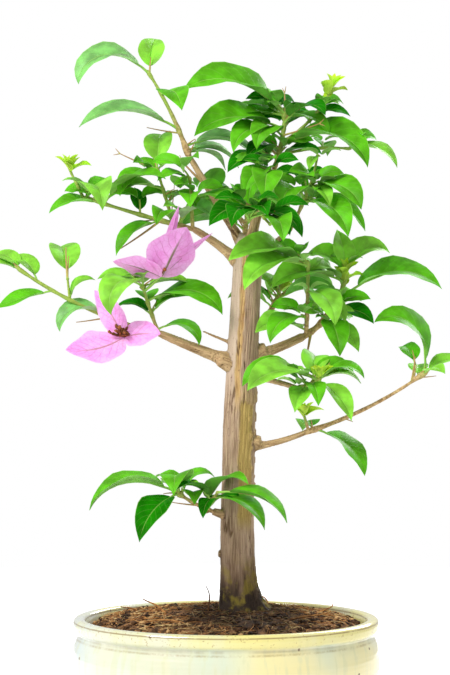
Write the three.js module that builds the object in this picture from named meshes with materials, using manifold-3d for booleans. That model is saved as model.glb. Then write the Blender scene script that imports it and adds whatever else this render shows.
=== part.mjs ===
// Bougainvillea bonsai in an oval glazed pot: trunk, boughs, sprays of leaves and bracts, soil and pot.
// Millimetres and degrees, +Z up. The origin is on the table under the middle of the pot, +X is the
// viewer's right and +Y points away from the viewer.
// A bearing turns in plan from +X (0) through away (90) and left (180) to the viewer (270).
// A rise is the slope above level.
import * as THREE from "three";
import { mergeVertices } from "three/addons/utils/BufferGeometryUtils.js";
import Module from "manifold-3d";

const wasm = await Module();
wasm.setup();
const { Manifold, Mesh: SolidMesh } = wasm;

// Driving dimensions

const GAP = 0.3; // clearance between two pieces that meet

const POT = {
  width: 153, // across the rim
  depth: 122, // across the rim, front to back
  height: 59.4,
  foot: 5, // height of the feet
  sides: 32,
  drain: 6, // radius of a drain hole
  drainSpread: 26, // middle of the pot to a drain hole
  footGap: 46, // width of the gaps that part the foot ring into four feet
};
const SOIL = { top: 62.7, edge: 54.6, plateau: 26 };
const TRUNK = {
  x: 6.2, // where the trunk stands, right of the pot's middle
  height: 185, // soil to fork
  base: 17.6, // diameters
  top: 14.4,
  lean: 5.4, // how far the fork lies to the right of the foot
  bow: -2.2, // how far the middle bows to the left
  flare: 0.42, // widening at the soil, as a share of the radius
  flareHeight: 8,
  sides: 16,
  rings: 14,
};
const ROOTS = [
  // bearing of each surface root and its share of the flare
  { bearing: 352, share: 2.6 },
  { bearing: 95, share: 1.2 },
  { bearing: 205, share: 0.4 },
  { bearing: 285, share: 0.9 },
];
const ROOT_SPREAD = 24; // half-width of a root, in degrees round the trunk

const LEAF = {
  stalk: 0.15, // share of a leaf's length that is stalk
  width: 0.58, // widest part, as a share of the blade's length
  thick: 0.022, // thickness at the rib, as a share of the length
  fold: 22, // how far each half folds up from the rib
  early: 0.2, // share of its turn to the light that a blade has at its foot and at its tip
  late: 1.4,
  droop: 95, // how far a leaf arches down from its foot to its tip
  ease: 1.5, // how much of that comes late
  round: 0.68, // the two powers that shape the outline
  point: 1.2,
};
const BRACT = {
  thick: 0.75,
  round: 0.62,
  point: 0.9,
};
const BUD = { leaves: 4, length: 9, rise: 56 };
const STALK_RADIUS = 0.55;
const GOLDEN_ANGLE = 137.5;

// Limbs: height and bearing where each leaves the trunk, slope there, turn of that slope along the limb,
// length from the trunk's axis, and the diameters at its two ends.
const BOUGHS = {
  left_bough: { height: 122, bearing: 187, rise: 19, turn: 4, length: 44, base: 7.2, tip: 3.6 },
  right_bough: { height: 125, bearing: 12, rise: 14, turn: 12, length: 33, base: 6, tip: 4.2 },
  low_right_bough: { height: 81, bearing: 355, rise: 3, turn: 20, length: 34, base: 3.8, tip: 2.7 },
  mid_right_bough: { height: 116, bearing: 322, rise: 0, turn: -16, length: 36, base: 3.4, tip: 2.5 },
  upper_left_bough: { height: 170, bearing: 186, rise: 44, turn: -14, length: 33, base: 6, tip: 3.3 },
  leader_bough: { height: 178, bearing: 172, rise: 58, turn: 1, length: 58, base: 5, tip: 2.9 },
  crown_bough: { height: 179, bearing: 20, rise: 74, turn: -4, length: 41, base: 4.4, tip: 2.6 },
  upper_right_bough: { height: 173, bearing: 350, rise: 36, turn: 4, length: 27, base: 4, tip: 2.5 },
  front_bough: { height: 180, bearing: 282, rise: 52, turn: 2, length: 29, base: 3.8, tip: 2.5 },
  back_high_bough: { height: 168, bearing: 92, rise: 38, turn: 6, length: 32, base: 5, tip: 3 },
  back_low_bough: { height: 136, bearing: 62, rise: 18, turn: 14, length: 34, base: 5, tip: 3 },
};

// Sprays: each grows on from the tip of a bough, or from the trunk at a height. The first shoot is the
// stem, and later shoots leave it at a share of its length. Leaf rows are
// [share along the shoot, bearing, rise, length, droop] and, where it isn't the usual one, the share of the
// length that is stalk; fill adds leaves by the seeded rule. A bloom has a stalk, the bearing and rise of its
// axis, and bract rows of [bearing, rise, turn, length, width as a share of the length].
// light is the bearing that the spray's blades turn to, face how far they turn, and reach the radius of the
// space it keeps to.
const SPRAYS = {
  leader_spray: {
    bough: "leader_bough",
    seed: 11,
    light: 270,
    face: 34,
    reach: 75,
    shoots: [
      {
        bearing: 176, rise: 71, turn: -14, length: 48, base: 2.7, tip: 1.3,
        leaves: [
          [1.0, 184, 44, 47, 140],
          [0.96, 84, 66, 31, 60],
          [0.7, 292, 10, 34, 86],
          [0.3, 186, 30, 54, 80],
          [0.1, 14, 24, 42, 90],
          [0.06, 30, 16, 34, 74],
          [0.03, 44, 16, 30, 76],
        ],
      },
    ],
  },
  upper_left_spray: {
    bough: "upper_left_bough",
    seed: 23,
    light: 268,
    face: 28,
    reach: 95,
    shoots: [
      {
        bearing: 184, rise: 14, turn: 4, length: 59, base: 2.7, tip: 1.3,
        leaves: [
          [0.82, 190, 12, 28, 64],
          [0.97, 290, 34, 37, 128],
          [0.96, 40, 50, 22, 80],
          [0.8, 338, 50, 39, 74],
          [0.48, 110, 72, 18, 50],
          [0.3, 188, -14, 30, 66],
          [0.2, 250, 44, 26, 130],
          [0.14, 320, 56, 28, 130],
        ],
      },
      {
        at: 0.98, bearing: 186, rise: 62, turn: 4, length: 17, base: 1.7, tip: 1.3, bud: true,
        leaves: [],
      },
      {
        at: 0.19, bearing: 170, rise: 74, turn: -2, length: 30, base: 1.9, tip: 1.2,
        leaves: [
          [1.0, 84, 74, 33, 90],
          [0.84, 206, 14, 28, 100],
          [0.94, 56, 36, 26, 90],
          [0.9, 150, 50, 15, 60],
          [0.5, 340, 10, 23, 96],
          [0.35, 60, 40, 26, 90],
          [0.6, 192, 20, 30, 80],
        ],
      },
      {
        at: 0.02, bearing: 262, rise: 70, turn: 0, length: 27, base: 2.1, tip: 1.3,
        leaves: [
          [0.95, 200, 30, 19, 90],
          [0.6, 338, 14, 30, 84],
          [0.5, 270, 30, 25, 110],
        ],
      },
    ],
  },
  left_spray: {
    bough: "left_bough",
    seed: 37,
    light: 268,
    face: 30,
    reach: 100,
    shoots: [
      {
        bearing: 186, rise: 14, turn: 22, length: 80, base: 2.5, tip: 1.2,
        leaves: [
          [1.0, 176, 30, 22, 70],
          [0.98, 146, 50, 22, 80],
          [0.83, 146, 66, 25, 96],
          [0.6, 6, 82, 19, 108],
          [0.72, 186, -12, 29, 10],
          [0.34, 192, 34, 32, 126],
        ],
        blooms: [
          {
            at: 0.16, bearing: 240, rise: -26, length: 13, axis: [250, 35],
            bracts: [
              [204, -32, 42, 31, 0.81],
              [160, 66, -18, 28, 0.44],
              [342, 14, -18, 20, 0.8],
            ],
          },
        ],
      },
      {
        at: 0.01, bearing: 204, rise: 68, turn: 4, length: 26, base: 2, tip: 1.3,
        leaves: [
          [0.97, 232, 26, 38, 150],
          [1.0, 188, 34, 24, 64],
          [0.99, 275, 40, 20, 60],
          [0.98, 12, 22, 26, 40],
          [0.66, 350, 28, 44, 104],
          [0.42, 10, 50, 22, 60],
          [0.36, 156, 44, 24, 92],
          [0.08, 350, 28, 28, 116],
          [0.6, 96, 40, 26, 90],
        ],
        blooms: [
          {
            at: 0.86, bearing: 306, rise: 22, length: 17, axis: [100, 60],
            bracts: [
              [330, 61, -4, 28, 0.98],
              [190, 26, -18, 25, 0.66],
              [4, 78, -4, 36, 0.17],
              [8, 44, -8, 33, 0.2],
            ],
          },
        ],
      },
      {
        at: 0.6, bearing: 186, rise: 84, turn: 0, length: 11, base: 1.4, tip: 1.1,
        leaves: [
          [1.0, 104, 62, 36, 90],
        ],
      },
    ],
  },
  right_spray: {
    bough: "right_bough",
    seed: 41,
    light: 272,
    face: 40,
    reach: 85,
    shoots: [
      {
        bearing: 8, rise: 28, turn: 58, length: 43, base: 3.4, tip: 1.6, bud: true, fill: 2,
        leaves: [
          [0.5, 2, 48, 64, 104, 0.27],
          [0.84, 204, 24, 44, 66],
          [0.97, 110, 80, 26, 40],
          [0.94, 30, 62, 34, 100],
          [0.92, 140, 56, 30, 84],
          [0.42, 342, 20, 26, 80],
          [0.36, 286, -12, 31, 72],
          [0.28, 330, -10, 27, 70],
          [0.4, 60, 30, 27, 90],
          [0.1, 214, 28, 36, 76],
        ],
      },
      {
        at: 0.05, bearing: 272, rise: 54, turn: 34, length: 40, base: 2.4, tip: 1.3,
        leaves: [
          [1.0, 204, 26, 46, 62],
          [0.92, 214, 16, 45, 84],
          [0.25, 222, 10, 32, 90],
          [0.6, 304, 0, 32, 90],
          [0.8, 80, 40, 28, 90],
          [0.4, 330, 20, 26, 100],
        ],
      },
    ],
  },
  low_right_spray: {
    bough: "low_right_bough",
    seed: 53,
    light: 272,
    face: 40,
    reach: 85,
    shoots: [
      {
        bearing: 358, rise: 17, turn: 20, length: 70, base: 2.5, tip: 1.3,
        leaves: [
          [0.08, 350, -16, 36, 72],
          [1.0, 180, 100, 47, 138],
          [1.0, 12, 40, 25, 76],
          [0.94, 300, 30, 20, 70],
          [0.9, 84, 40, 22, 70],
          [0.06, 100, 30, 26, 90],
        ],
      },
      {
        at: 0.03, bearing: 150, rise: 72, turn: 0, length: 9, base: 1.7, tip: 1.3, bud: true,
        leaves: [],
      },
      {
        at: 0.86, bearing: 20, rise: 82, turn: 0, length: 8, base: 1.4, tip: 1.1,
        leaves: [
          [1.0, 110, 60, 22, 90],
        ],
      },
    ],
  },
  mid_right_spray: {
    bough: "mid_right_bough",
    seed: 61,
    light: 280,
    face: 34,
    reach: 60,
    shoots: [
      {
        bearing: 350, rise: 22, turn: 10, length: 12.4, base: 2.4, tip: 1.3, bud: true, fill: 1,
        leaves: [
          [0.35, 184, 42, 38, 104],
          [0.8, 212, 22, 44, 70],
          [0.3, 252, -10, 25, 60],
          [0.6, 30, 46, 28, 100],
          [0.9, 350, 44, 26, 104],
          [0.8, 330, -28, 28, 46],
          [0.4, 282, 10, 24, 90],
          [0.92, 20, 24, 24, 84],
        ],
      },
    ],
  },
  crown_spray: {
    bough: "crown_bough",
    seed: 75,
    light: 270,
    face: 40,
    reach: 75,
    shoots: [
      {
        bearing: 14, rise: 68, turn: 20, length: 33, base: 2.3, tip: 1.4, fill: 2,
        leaves: [
          [1.0, 186, 45, 58, 80],
          [0.9, 150, 40, 34, 86],
          [0.92, 158, 16, 44, 56],
          [0.9, 340, 10, 28, 84],
          [0.6, 236, 30, 32, 124],
          [0.55, 216, 30, 38, 112],
          [0.46, 344, 26, 54, 100],
          [0.3, 350, 30, 24, 80],
          [0.7, 60, 46, 34, 90],
          [0.14, 230, -10, 33, 84],
          [0.26, 216, 8, 34, 54],
          [0.72, 194, 22, 50, 70],
          [0.4, 222, 16, 26, 80],
        ],
      },
      {
        at: 0.5, bearing: 354, rise: 30, turn: 36, length: 40, base: 1.9, tip: 1.2, bud: true,
        leaves: [
          [0.5, 12, 36, 22, 80],
        ],
      },
      {
        at: 0.06, bearing: 262, rise: -6, turn: -6, length: 15, base: 1.7, tip: 1.2,
        leaves: [
          [1.0, 262, 4, 33, 92],
          [0.9, 236, 6, 28, 84],
        ],
      },
      {
        at: 0.3, bearing: 8, rise: 18, turn: -24, length: 38, base: 1.8, tip: 1.2,
        leaves: [
          [1.0, 358, 14, 30, 86],
          [0.6, 80, 30, 26, 90],
        ],
      },
    ],
  },
  upper_right_spray: {
    bough: "upper_right_bough",
    seed: 83,
    light: 276,
    face: 40,
    reach: 70,
    shoots: [
      {
        bearing: 358, rise: 62, turn: 8, length: 26, base: 2.2, tip: 1.3,
        leaves: [
          [0.9, 326, 12, 36, 92],
          [0.6, 314, 0, 39, 78],
          [0.66, 16, 0, 38, 72],
          [0.98, 20, 46, 16, 50],
          [0.72, 150, 74, 18, 40],
          [0.66, 244, 30, 36, 124],
          [0.84, 300, 6, 24, 86],
          [0.5, 80, 40, 28, 90],
        ],
      },
      {
        at: 0.95, bearing: 20, rise: 70, turn: 10, length: 16, base: 1.4, tip: 1.1,
        leaves: [
          [0.95, 240, -20, 13, 50],
        ],
      },
    ],
  },
  front_spray: {
    bough: "front_bough",
    seed: 97,
    light: 270,
    face: 40,
    reach: 60,
    shoots: [
      {
        bearing: 256, rise: -40, turn: 16, length: 20, base: 2.6, tip: 1.4,
        leaves: [
          [0.95, 334, 24, 32, 104],
          [0.3, 214, 4, 30, 66],
          [0.6, 350, 6, 30, 86],
          [0.9, 290, 36, 28, 100],
          [0.95, 250, 30, 30, 110],
        ],
      },
      {
        at: 0.2, bearing: 296, rise: -38, turn: 12, length: 20, base: 1.8, tip: 1.2,
        leaves: [
          [1.0, 284, 20, 30, 104],
          [0.6, 304, 10, 26, 90],
        ],
      },
    ],
  },
  back_high_spray: {
    bough: "back_high_bough",
    seed: 101,
    light: 90,
    face: 40,
    reach: 75,
    shoots: [
      {
        bearing: 84, rise: 44, turn: 6, length: 23, base: 2.8, tip: 1.4, bud: true, fill: 6,
        leaves: [
          [1.0, 96, 40, 27, 116],
          [0.9, 40, 40, 34, 104],
        ],
      },
      {
        at: 0.3, bearing: 142, rise: 46, turn: 0, length: 26, base: 1.9, tip: 1.2, fill: 4,
        leaves: [],
      },
    ],
  },
  back_low_spray: {
    bough: "back_low_bough",
    seed: 113,
    light: 80,
    face: 40,
    reach: 75,
    shoots: [
      {
        bearing: 70, rise: 30, turn: 10, length: 20.4, base: 2.8, tip: 1.4, bud: true, fill: 6,
        leaves: [
          [1.0, 84, 36, 27, 116],
        ],
      },
      {
        at: 0.44, bearing: 28, rise: 38, turn: 0, length: 25, base: 1.9, tip: 1.2, fill: 4,
        leaves: [],
      },
    ],
  },
  low_left_spray: {
    trunkHeight: 46,
    seed: 127,
    light: 262,
    face: 14,
    reach: 75,
    shoots: [
      {
        bearing: 208, rise: 10, turn: 26, length: 38, base: 2.5, tip: 1.3,
        leaves: [
          [0.98, 188, 26, 50, 96],
          [0.94, 230, -12, 38, 66],
          [0.93, 266, 54, 36, 140],
          [0.9, 130, 54, 24, 80],
          [0.88, 14, 80, 24, 130],
          [0.72, 276, 50, 22, 126],
          [0.5, 322, 70, 36, 116],
          [0.46, 312, 46, 27, 96],
        ],
      },
      {
        at: 0.5, bearing: 292, rise: 24, turn: 10, length: 20, base: 1.8, tip: 1.2,
        leaves: [
          [0.7, 334, 4, 34, 76],
          [1.0, 350, 6, 40, 80],
          [0.5, 206, 56, 26, 110],
          [0.6, 250, 4, 18, 90],
        ],
      },
    ],
  },
};

const COLOURS = {
  glaze: 0xe9e6c8,
  soil: 0x4a3526,
  bark: 0xb49a78,
  leaf: 0x3f9a2f,
};

// Directions, arcs and chance

const radians = THREE.MathUtils.degToRad;
const mix = THREE.MathUtils.lerp;

// A unit vector along a bearing and a rise.
function direction(bearing, rise) {
  const level = Math.cos(radians(rise));
  return new THREE.Vector3(
    level * Math.cos(radians(bearing)),
    level * Math.sin(radians(bearing)),
    Math.sin(radians(rise)),
  );
}

// A place on an arc with its frame: along the arc, to its side, and the upper face's normal.
function frameAt(point, bearing, rise) {
  const along = direction(bearing, rise);
  const side = new THREE.Vector3(-Math.sin(radians(bearing)), Math.cos(radians(bearing)), 0);
  const upper = new THREE.Vector3().crossVectors(along, side);
  return { point, along, side, upper };
}

// The frames along an arc whose slope turns from rise to rise + turn over its length, evenly where
// ease is 1 and later on where it is more.
function arcFrames({ start, bearing, rise, turn, length, ease = 1 }, steps) {
  const slope = (step) => rise + turn * (step / steps) ** ease;
  const frames = [frameAt(start.clone(), bearing, rise)];
  for (let i = 1; i <= steps; i++) {
    const middle = direction(bearing, slope(i - 0.5));
    const point = frames[i - 1].point.clone().addScaledVector(middle, length / steps);
    frames.push(frameAt(point, bearing, slope(i)));
  }
  return frames;
}

// The frame at a share of an arc, between the two frames beside it.
function frameOn(frames, share) {
  const place = THREE.MathUtils.clamp(share, 0, 1) * (frames.length - 1);
  const i = Math.min(Math.floor(place), frames.length - 2);
  const blend = (key) => frames[i][key].clone().lerp(frames[i + 1][key], place - i);
  return { point: blend("point"), along: blend("along"), side: blend("side"), upper: blend("upper") };
}

// A repeatable stream of numbers from 0 to 1.
function seeded(seed) {
  let state = seed;
  return () => {
    state = (Math.imul(state, 1664525) + 1013904223) >>> 0;
    return state / 4294967296;
  };
}

// Solids from three.js geometry

function solidOf(geometry) {
  geometry.deleteAttribute("normal");
  geometry.deleteAttribute("uv");
  const merged = mergeVertices(geometry, 1e-4);
  const corners = merged.index.array;
  const kept = [];
  for (let i = 0; i < corners.length; i += 3) {
    const [a, b, c] = corners.slice(i, i + 3);
    if (a !== b && b !== c && a !== c) kept.push(a, b, c);
  }
  return new Manifold(
    new SolidMesh({
      numProp: 3,
      vertProperties: merged.attributes.position.array,
      triVerts: new Uint32Array(kept),
    }),
  );
}

function meshOf(solid, name, colour, roughness) {
  const { numProp, numVert, vertProperties, triVerts } = solid.getMesh();
  const places = new Float32Array(numVert * 3);
  for (let i = 0; i < numVert; i++) {
    places.set(vertProperties.subarray(i * numProp, i * numProp + 3), i * 3);
  }
  const geometry = new THREE.BufferGeometry();
  geometry.setAttribute("position", new THREE.BufferAttribute(places, 3));
  geometry.setIndex(new THREE.BufferAttribute(triVerts, 1));
  geometry.computeVertexNormals();
  const material = new THREE.MeshStandardMaterial({ color: colour, roughness, metalness: 0 });
  const mesh = new THREE.Mesh(geometry, material);
  mesh.name = name;
  return mesh;
}

// Moves each vertex of a geometry to the place that a function of it gives.
function reshape(geometry, place) {
  const position = geometry.attributes.position;
  for (let i = 0; i < position.count; i++) {
    const moved = place(new THREE.Vector3().fromBufferAttribute(position, i));
    position.setXYZ(i, moved.x, moved.y, moved.z);
  }
  return geometry;
}

// The largest body of a solid, so that scraps and sealed hollows are left out.
function largestBody(solid) {
  return solid.decompose().reduce((best, body) => (body.volume() > best.volume() ? body : best));
}

// A tapering limb along an arc, from a bent cylinder.
function limb(frames, base, tip, sides) {
  const steps = frames.length - 1;
  const bent = reshape(new THREE.CylinderGeometry(1, 1, 1, sides, steps), ({ x, y, z }) => {
    const share = y + 0.5;
    const { point, side, upper } = frameOn(frames, share);
    const radius = mix(base, tip, share) / 2;
    return point.addScaledVector(side, x * radius).addScaledVector(upper, -z * radius);
  });
  return solidOf(bent);
}

// The half-width of a blade at a share of its length, 1 at its widest.
function outline(share, round, point) {
  const widest = round / (round + point);
  const peak = widest ** round * (1 - widest) ** point;
  return (share ** round * (1 - share) ** point) / peak;
}

// A blade along an arc, from a bent four-sided sphere: two edges, and the rib's upper and lower side.
// Each ring is [share along the arc, half-width, half-thickness, roll], and the first and last are the ends.
function blade(frames, rings, fold) {
  const last = rings.length - 1;
  const skin = new THREE.SphereGeometry(1, 4, last);
  const corners = [];
  for (let row = 0; row < last; row++) {
    for (let side = 0; side < 4; side++) {
      const here = row * 5 + side;
      const next = here + 5;
      // The under side is split along the upper side's diagonals, so that the two can't cross where it twists.
      if (side < 2) corners.push(here + 1, here, next, here + 1, next, next + 1);
      else corners.push(here + 1, here, next + 1, here, next, next + 1);
    }
  }
  skin.setIndex(corners);
  return solidOf(
    reshape(skin, ({ x, y, z }) => {
      const row = last - Math.round((Math.acos(THREE.MathUtils.clamp(y, -1, 1)) / Math.PI) * last);
      const [share, halfWidth, halfThick, roll] = rings[row];
      const { point, side, upper } = frameOn(frames, share);
      const turn = radians(roll);
      const across = side.clone().multiplyScalar(Math.cos(turn)).addScaledVector(upper, Math.sin(turn));
      const face = upper.clone().multiplyScalar(Math.cos(turn)).addScaledVector(side, -Math.sin(turn));
      const half = (Math.abs(x) > 1e-6 ? Math.sign(x) : 0) * halfWidth;
      const rib = (Math.abs(z) > 1e-6 ? -Math.sign(z) : 0) * halfThick;
      point.addScaledVector(across, half * Math.cos(radians(fold)));
      return point.addScaledVector(face, Math.abs(half) * Math.sin(radians(fold)) + rib);
    }),
  );
}

// Pot, soil and trunk

function oval(profile) {
  const points = profile.map(([radius, height]) => new THREE.Vector2(radius, height));
  const turned = new THREE.LatheGeometry(points, POT.sides);
  return solidOf(turned.rotateX(Math.PI / 2).scale(1, POT.depth / POT.width, 1));
}

const rim = POT.width / 2;
const innerWall = [
  [rim - 27, POT.foot + 6],
  [rim - 15, POT.foot + 11],
  [rim - 8.5, POT.foot + 24],
  [rim - 7.2, POT.height - 17],
  [rim - 7.6, POT.height - 7],
];

function buildPot() {
  const outerWall = [
    [rim - 25, POT.foot],
    [rim - 12, POT.foot + 5.5],
    [rim - 3, POT.foot + 17],
    [rim + 0.9, POT.height - 24],
    [rim + 0.4, POT.height - 15],
    [rim - 2.4, POT.height - 8.4],
    [rim - 2.4, POT.height - 7.4],
    [rim - 0.3, POT.height - 6],
    [rim, POT.height - 2.4],
    [rim - 1.8, POT.height],
    [rim - 5, POT.height],
    [rim - 6.4, POT.height - 1.6],
  ];
  const shell = oval([[0, POT.foot], ...outerWall, ...innerWall.slice().reverse(), [0, POT.foot + 5.5]]);
  const footRing = oval([
    [rim - 34, 0],
    [rim - 27, 0],
    [rim - 26, POT.foot + 1],
    [rim - 35, POT.foot + 1],
    [rim - 34, 0],
  ]);
  const gapAcross = solidOf(new THREE.BoxGeometry(POT.width, POT.footGap * 0.7, 2 * POT.foot));
  const gapAlong = solidOf(new THREE.BoxGeometry(POT.footGap, POT.depth, 2 * POT.foot));
  let pot = shell.add(footRing.subtract(gapAcross).subtract(gapAlong));
  for (const x of [-POT.drainSpread, POT.drainSpread]) {
    const drain = new THREE.CylinderGeometry(POT.drain, POT.drain, 4 * POT.foot, 16);
    pot = pot.subtract(solidOf(drain.rotateX(Math.PI / 2).translate(x, 0, POT.foot)));
  }
  return pot;
}

function buildSoil() {
  const wall = innerWall.map(([radius, height]) => [radius - 1.5 * GAP, height + GAP]);
  return oval([
    [0, POT.foot + 5.5 + 2 * GAP],
    ...wall,
    [wall.at(-1)[0], SOIL.edge],
    [rim - 16, mix(SOIL.edge, SOIL.top, 0.45)],
    [SOIL.plateau, SOIL.top],
    [0, SOIL.top],
  ]);
}

const trunkFoot = SOIL.top + GAP;

// The middle of the trunk at a height above the soil.
function trunkAxis(height) {
  const share = height / TRUNK.height;
  const bow = TRUNK.bow * Math.sin(Math.PI * share ** 0.8);
  return new THREE.Vector3(TRUNK.x + TRUNK.lean * share + bow, 0, trunkFoot + height);
}

function rootShare(bearing) {
  return ROOTS.reduce((sum, root) => {
    const off = ((bearing - root.bearing + 540) % 360) - 180;
    return sum + root.share * Math.exp(-((off / ROOT_SPREAD) ** 2));
  }, 0.15);
}

// The trunk, wider all round by a margin where it cuts its neighbours.
function buildTrunk(margin = 0) {
  const post = new THREE.CylinderGeometry(1, 1, 1, TRUNK.sides, TRUNK.rings).rotateX(Math.PI / 2);
  return solidOf(
    reshape(post, ({ x, y, z }) => {
      const share = (z + 0.5) ** 1.5; // rings lie closer together at the root flare
      const height = share * TRUNK.height;
      const bearing = THREE.MathUtils.radToDeg(Math.atan2(y, x));
      const flare = TRUNK.flare * Math.exp(-height / TRUNK.flareHeight) * rootShare(bearing);
      const radius = (mix(TRUNK.base, TRUNK.top, share) / 2) * (1 + flare) + margin;
      const lift = share > 0.999 ? margin : 0;
      const reach = Math.hypot(x, y) > 0.5 ? radius : 0;
      const place = trunkAxis(height).addScaledVector(direction(bearing, 0), reach);
      place.z += lift;
      return place;
    }),
  );
}

// Boughs: each starts on the trunk's axis and is cut clear of the trunk and of the boughs before it.

const BOUGH_STEPS = 5;
const BOUGH_SIDES = 7;

const trunk = buildTrunk();
const cutters = [buildTrunk(GAP)];
const boughs = {};
for (const [name, { height, bearing, rise, turn, length, base, tip }] of Object.entries(BOUGHS)) {
  const frames = arcFrames({ start: trunkAxis(height), bearing, rise, turn, length }, BOUGH_STEPS);
  const whole = limb(frames, base, tip, BOUGH_SIDES);
  const cut = cutters.reduce((left, cutter) => largestBody(left.subtract(cutter)), whole);
  boughs[name] = { frames, solid: cut };
  const longer = { start: trunkAxis(height), bearing, rise, turn, length: length + GAP };
  cutters.push(limb(arcFrames(longer, BOUGH_STEPS), base + 2 * GAP, tip + 2 * GAP, BOUGH_SIDES));
}

// Sprays: stems, twigs, leaves, buds and blooms fused into one body each.

const STEM_SIDES = 4;
const TWIG_SIDES = 3;
const LARGE_LEAF = 27; // a leaf this long or longer has more rings
const LARGE_SHARES = [0.1, 0.3, 0.56, 0.82]; // shares of a blade where its solid has a ring
const SMALL_SHARES = [0.16, 0.42, 0.76];
const BUD_SHARES = [0.4];
const FURTHEST = 0.95; // the last share of a shoot where a leaf can root

// A leaf's settings from its table row, or from the seeded rule, with a little chance in its pose.
function leafPose([share, bearing, rise, length, droop, stalk = LEAF.stalk], { light, face }, chance) {
  const sideways = Math.sin(radians(light - bearing)); // 1 where the blade's side points at the light
  return {
    share,
    bearing,
    rise,
    length,
    stalk,
    droop: droop + 16 * (chance() - 0.5),
    roll: -sideways * face + 24 * (chance() - 0.5),
    fold: LEAF.fold + 14 * (chance() - 0.5),
  };
}

// The frames along a leaf's rib, from the twig's axis to its tip.
function ribFrames({ bearing, rise, length, droop }, start) {
  return arcFrames({ start, bearing, rise, turn: -droop, length, ease: LEAF.ease }, 10);
}

// A leaf: its stalk starts on the twig's axis and widens into the blade, which turns on to the light.
function leafSolid({ length, stalk, roll, fold }, frames, shares) {
  const halfWidth = (LEAF.width * length * (1 - stalk)) / 2;
  const halfThick = Math.max((LEAF.thick * length) / 2, 0.3);
  const blades = shares.map((share) => [
    mix(stalk, 1, share),
    halfWidth * outline(share, LEAF.round, LEAF.point),
    halfThick,
    roll * mix(LEAF.early, LEAF.late, share),
  ]);
  const early = roll * LEAF.early;
  const stalks = [
    [0, 0, 0, early],
    [0.02, STALK_RADIUS, STALK_RADIUS, early],
    [stalk, STALK_RADIUS, STALK_RADIUS, early],
  ];
  return blade(frames, [...stalks, ...blades, [1, 0, 0, 0]], fold);
}

// A bloom: a stalk, and papery bracts whose inner faces look to the bloom's axis.
function bloomSolid({ bearing, rise, length, axis, bracts }, start) {
  const stem = arcFrames({ start, bearing, rise, turn: 10, length }, 3);
  const heart = direction(...axis);
  const root = stem.at(-1).point.clone().addScaledVector(heart, -1.5);
  const solids = [limb(stem, 1.4, 1.4, TWIG_SIDES)];
  for (const [bearing, rise, turn, length, width] of bracts) {
    root.addScaledVector(heart, 0.2);
    const frames = arcFrames({ start: root, bearing, rise, turn, length }, 8);
    const { side, upper } = frames[0];
    const roll = THREE.MathUtils.radToDeg(Math.atan2(-heart.dot(side), heart.dot(upper)));
    const rings = [0.08, 0.26, 0.46, 0.68, 0.88].map((share) => [
      share,
      (width * length * outline(share, BRACT.round, BRACT.point)) / 2,
      BRACT.thick / 2,
      roll,
    ]);
    solids.push(blade(frames, [[0, 0, 0, 0], ...rings, [1, 0, 0, 0]], 12));
  }
  return Manifold.union(solids);
}

// True where a solid keeps clear of every solid in a list.
function keepsClear(solid, others) {
  return others.every((other) => solid.minGap(other, 2 * GAP) >= GAP);
}

function buildSpray(spray, neighbours) {
  const chance = seeded(spray.seed);
  const root = spray.bough ? boughs[spray.bough].frames.at(-1).point : trunkAxis(spray.trunkHeight);
  const limbs = [trunk, ...Object.values(boughs).map((bough) => bough.solid)];
  const solids = [];
  let stem = null;
  let middle = null;

  // Keeps a leaf or a bloom that stays in the spray's space and clear of everything else.
  const grow = (solid, tip) => {
    const inside = tip.distanceTo(middle) < spray.reach;
    if (inside && keepsClear(solid, limbs) && keepsClear(solid, neighbours)) solids.push(solid);
  };

  for (const shoot of spray.shoots) {
    const start = stem ? frameOn(stem, shoot.at).point : root;
    const frames = arcFrames({ start, ...shoot }, 4);
    const sides = stem ? TWIG_SIDES : STEM_SIDES;
    if (!stem) {
      stem = frames;
      middle = frameOn(stem, 0.5).point;
    }
    solids.push(limb(frames, shoot.base, shoot.tip, sides));
    const rows = [...shoot.leaves];
    for (let i = 0; i < (shoot.fill ?? 0); i++) {
      const bearing = shoot.bearing + GOLDEN_ANGLE * i + 360 * chance();
      rows.push([(i + 0.6) / shoot.fill, bearing, 28 + 36 * chance(), 24 + 14 * chance(), LEAF.droop]);
    }
    for (const row of rows) {
      const pose = leafPose(row, spray, chance);
      const foot = frameOn(frames, Math.min(pose.share, FURTHEST)).point;
      const rib = ribFrames(pose, foot);
      const shares = pose.length < LARGE_LEAF ? SMALL_SHARES : LARGE_SHARES;
      grow(leafSolid(pose, rib, shares), rib.at(-1).point);
    }
    for (let i = 0; shoot.bud && i < BUD.leaves; i++) {
      const row = [FURTHEST - 0.06 * i, shoot.bearing + i * GOLDEN_ANGLE, BUD.rise, BUD.length, 40];
      const pose = leafPose(row, spray, chance);
      const foot = frameOn(frames, pose.share).point;
      grow(leafSolid(pose, ribFrames(pose, foot), BUD_SHARES), foot);
    }
    for (const bloom of shoot.blooms ?? []) {
      const foot = frameOn(frames, bloom.at).point;
      grow(bloomSolid(bloom, foot), foot);
    }
  }
  const fused = cutters.reduce((left, cutter) => left.subtract(cutter), Manifold.union(solids));
  // Short edges are collapsed twice, across the seams too, so that few thin triangles are left on them.
  return largestBody([0.03, 0.06].reduce((left, step) => left.asOriginal().simplify(step), fused));
}

const sprays = {};
for (const [name, spray] of Object.entries(SPRAYS)) {
  sprays[name] = buildSpray(spray, Object.values(sprays));
}

// The assembly

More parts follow.
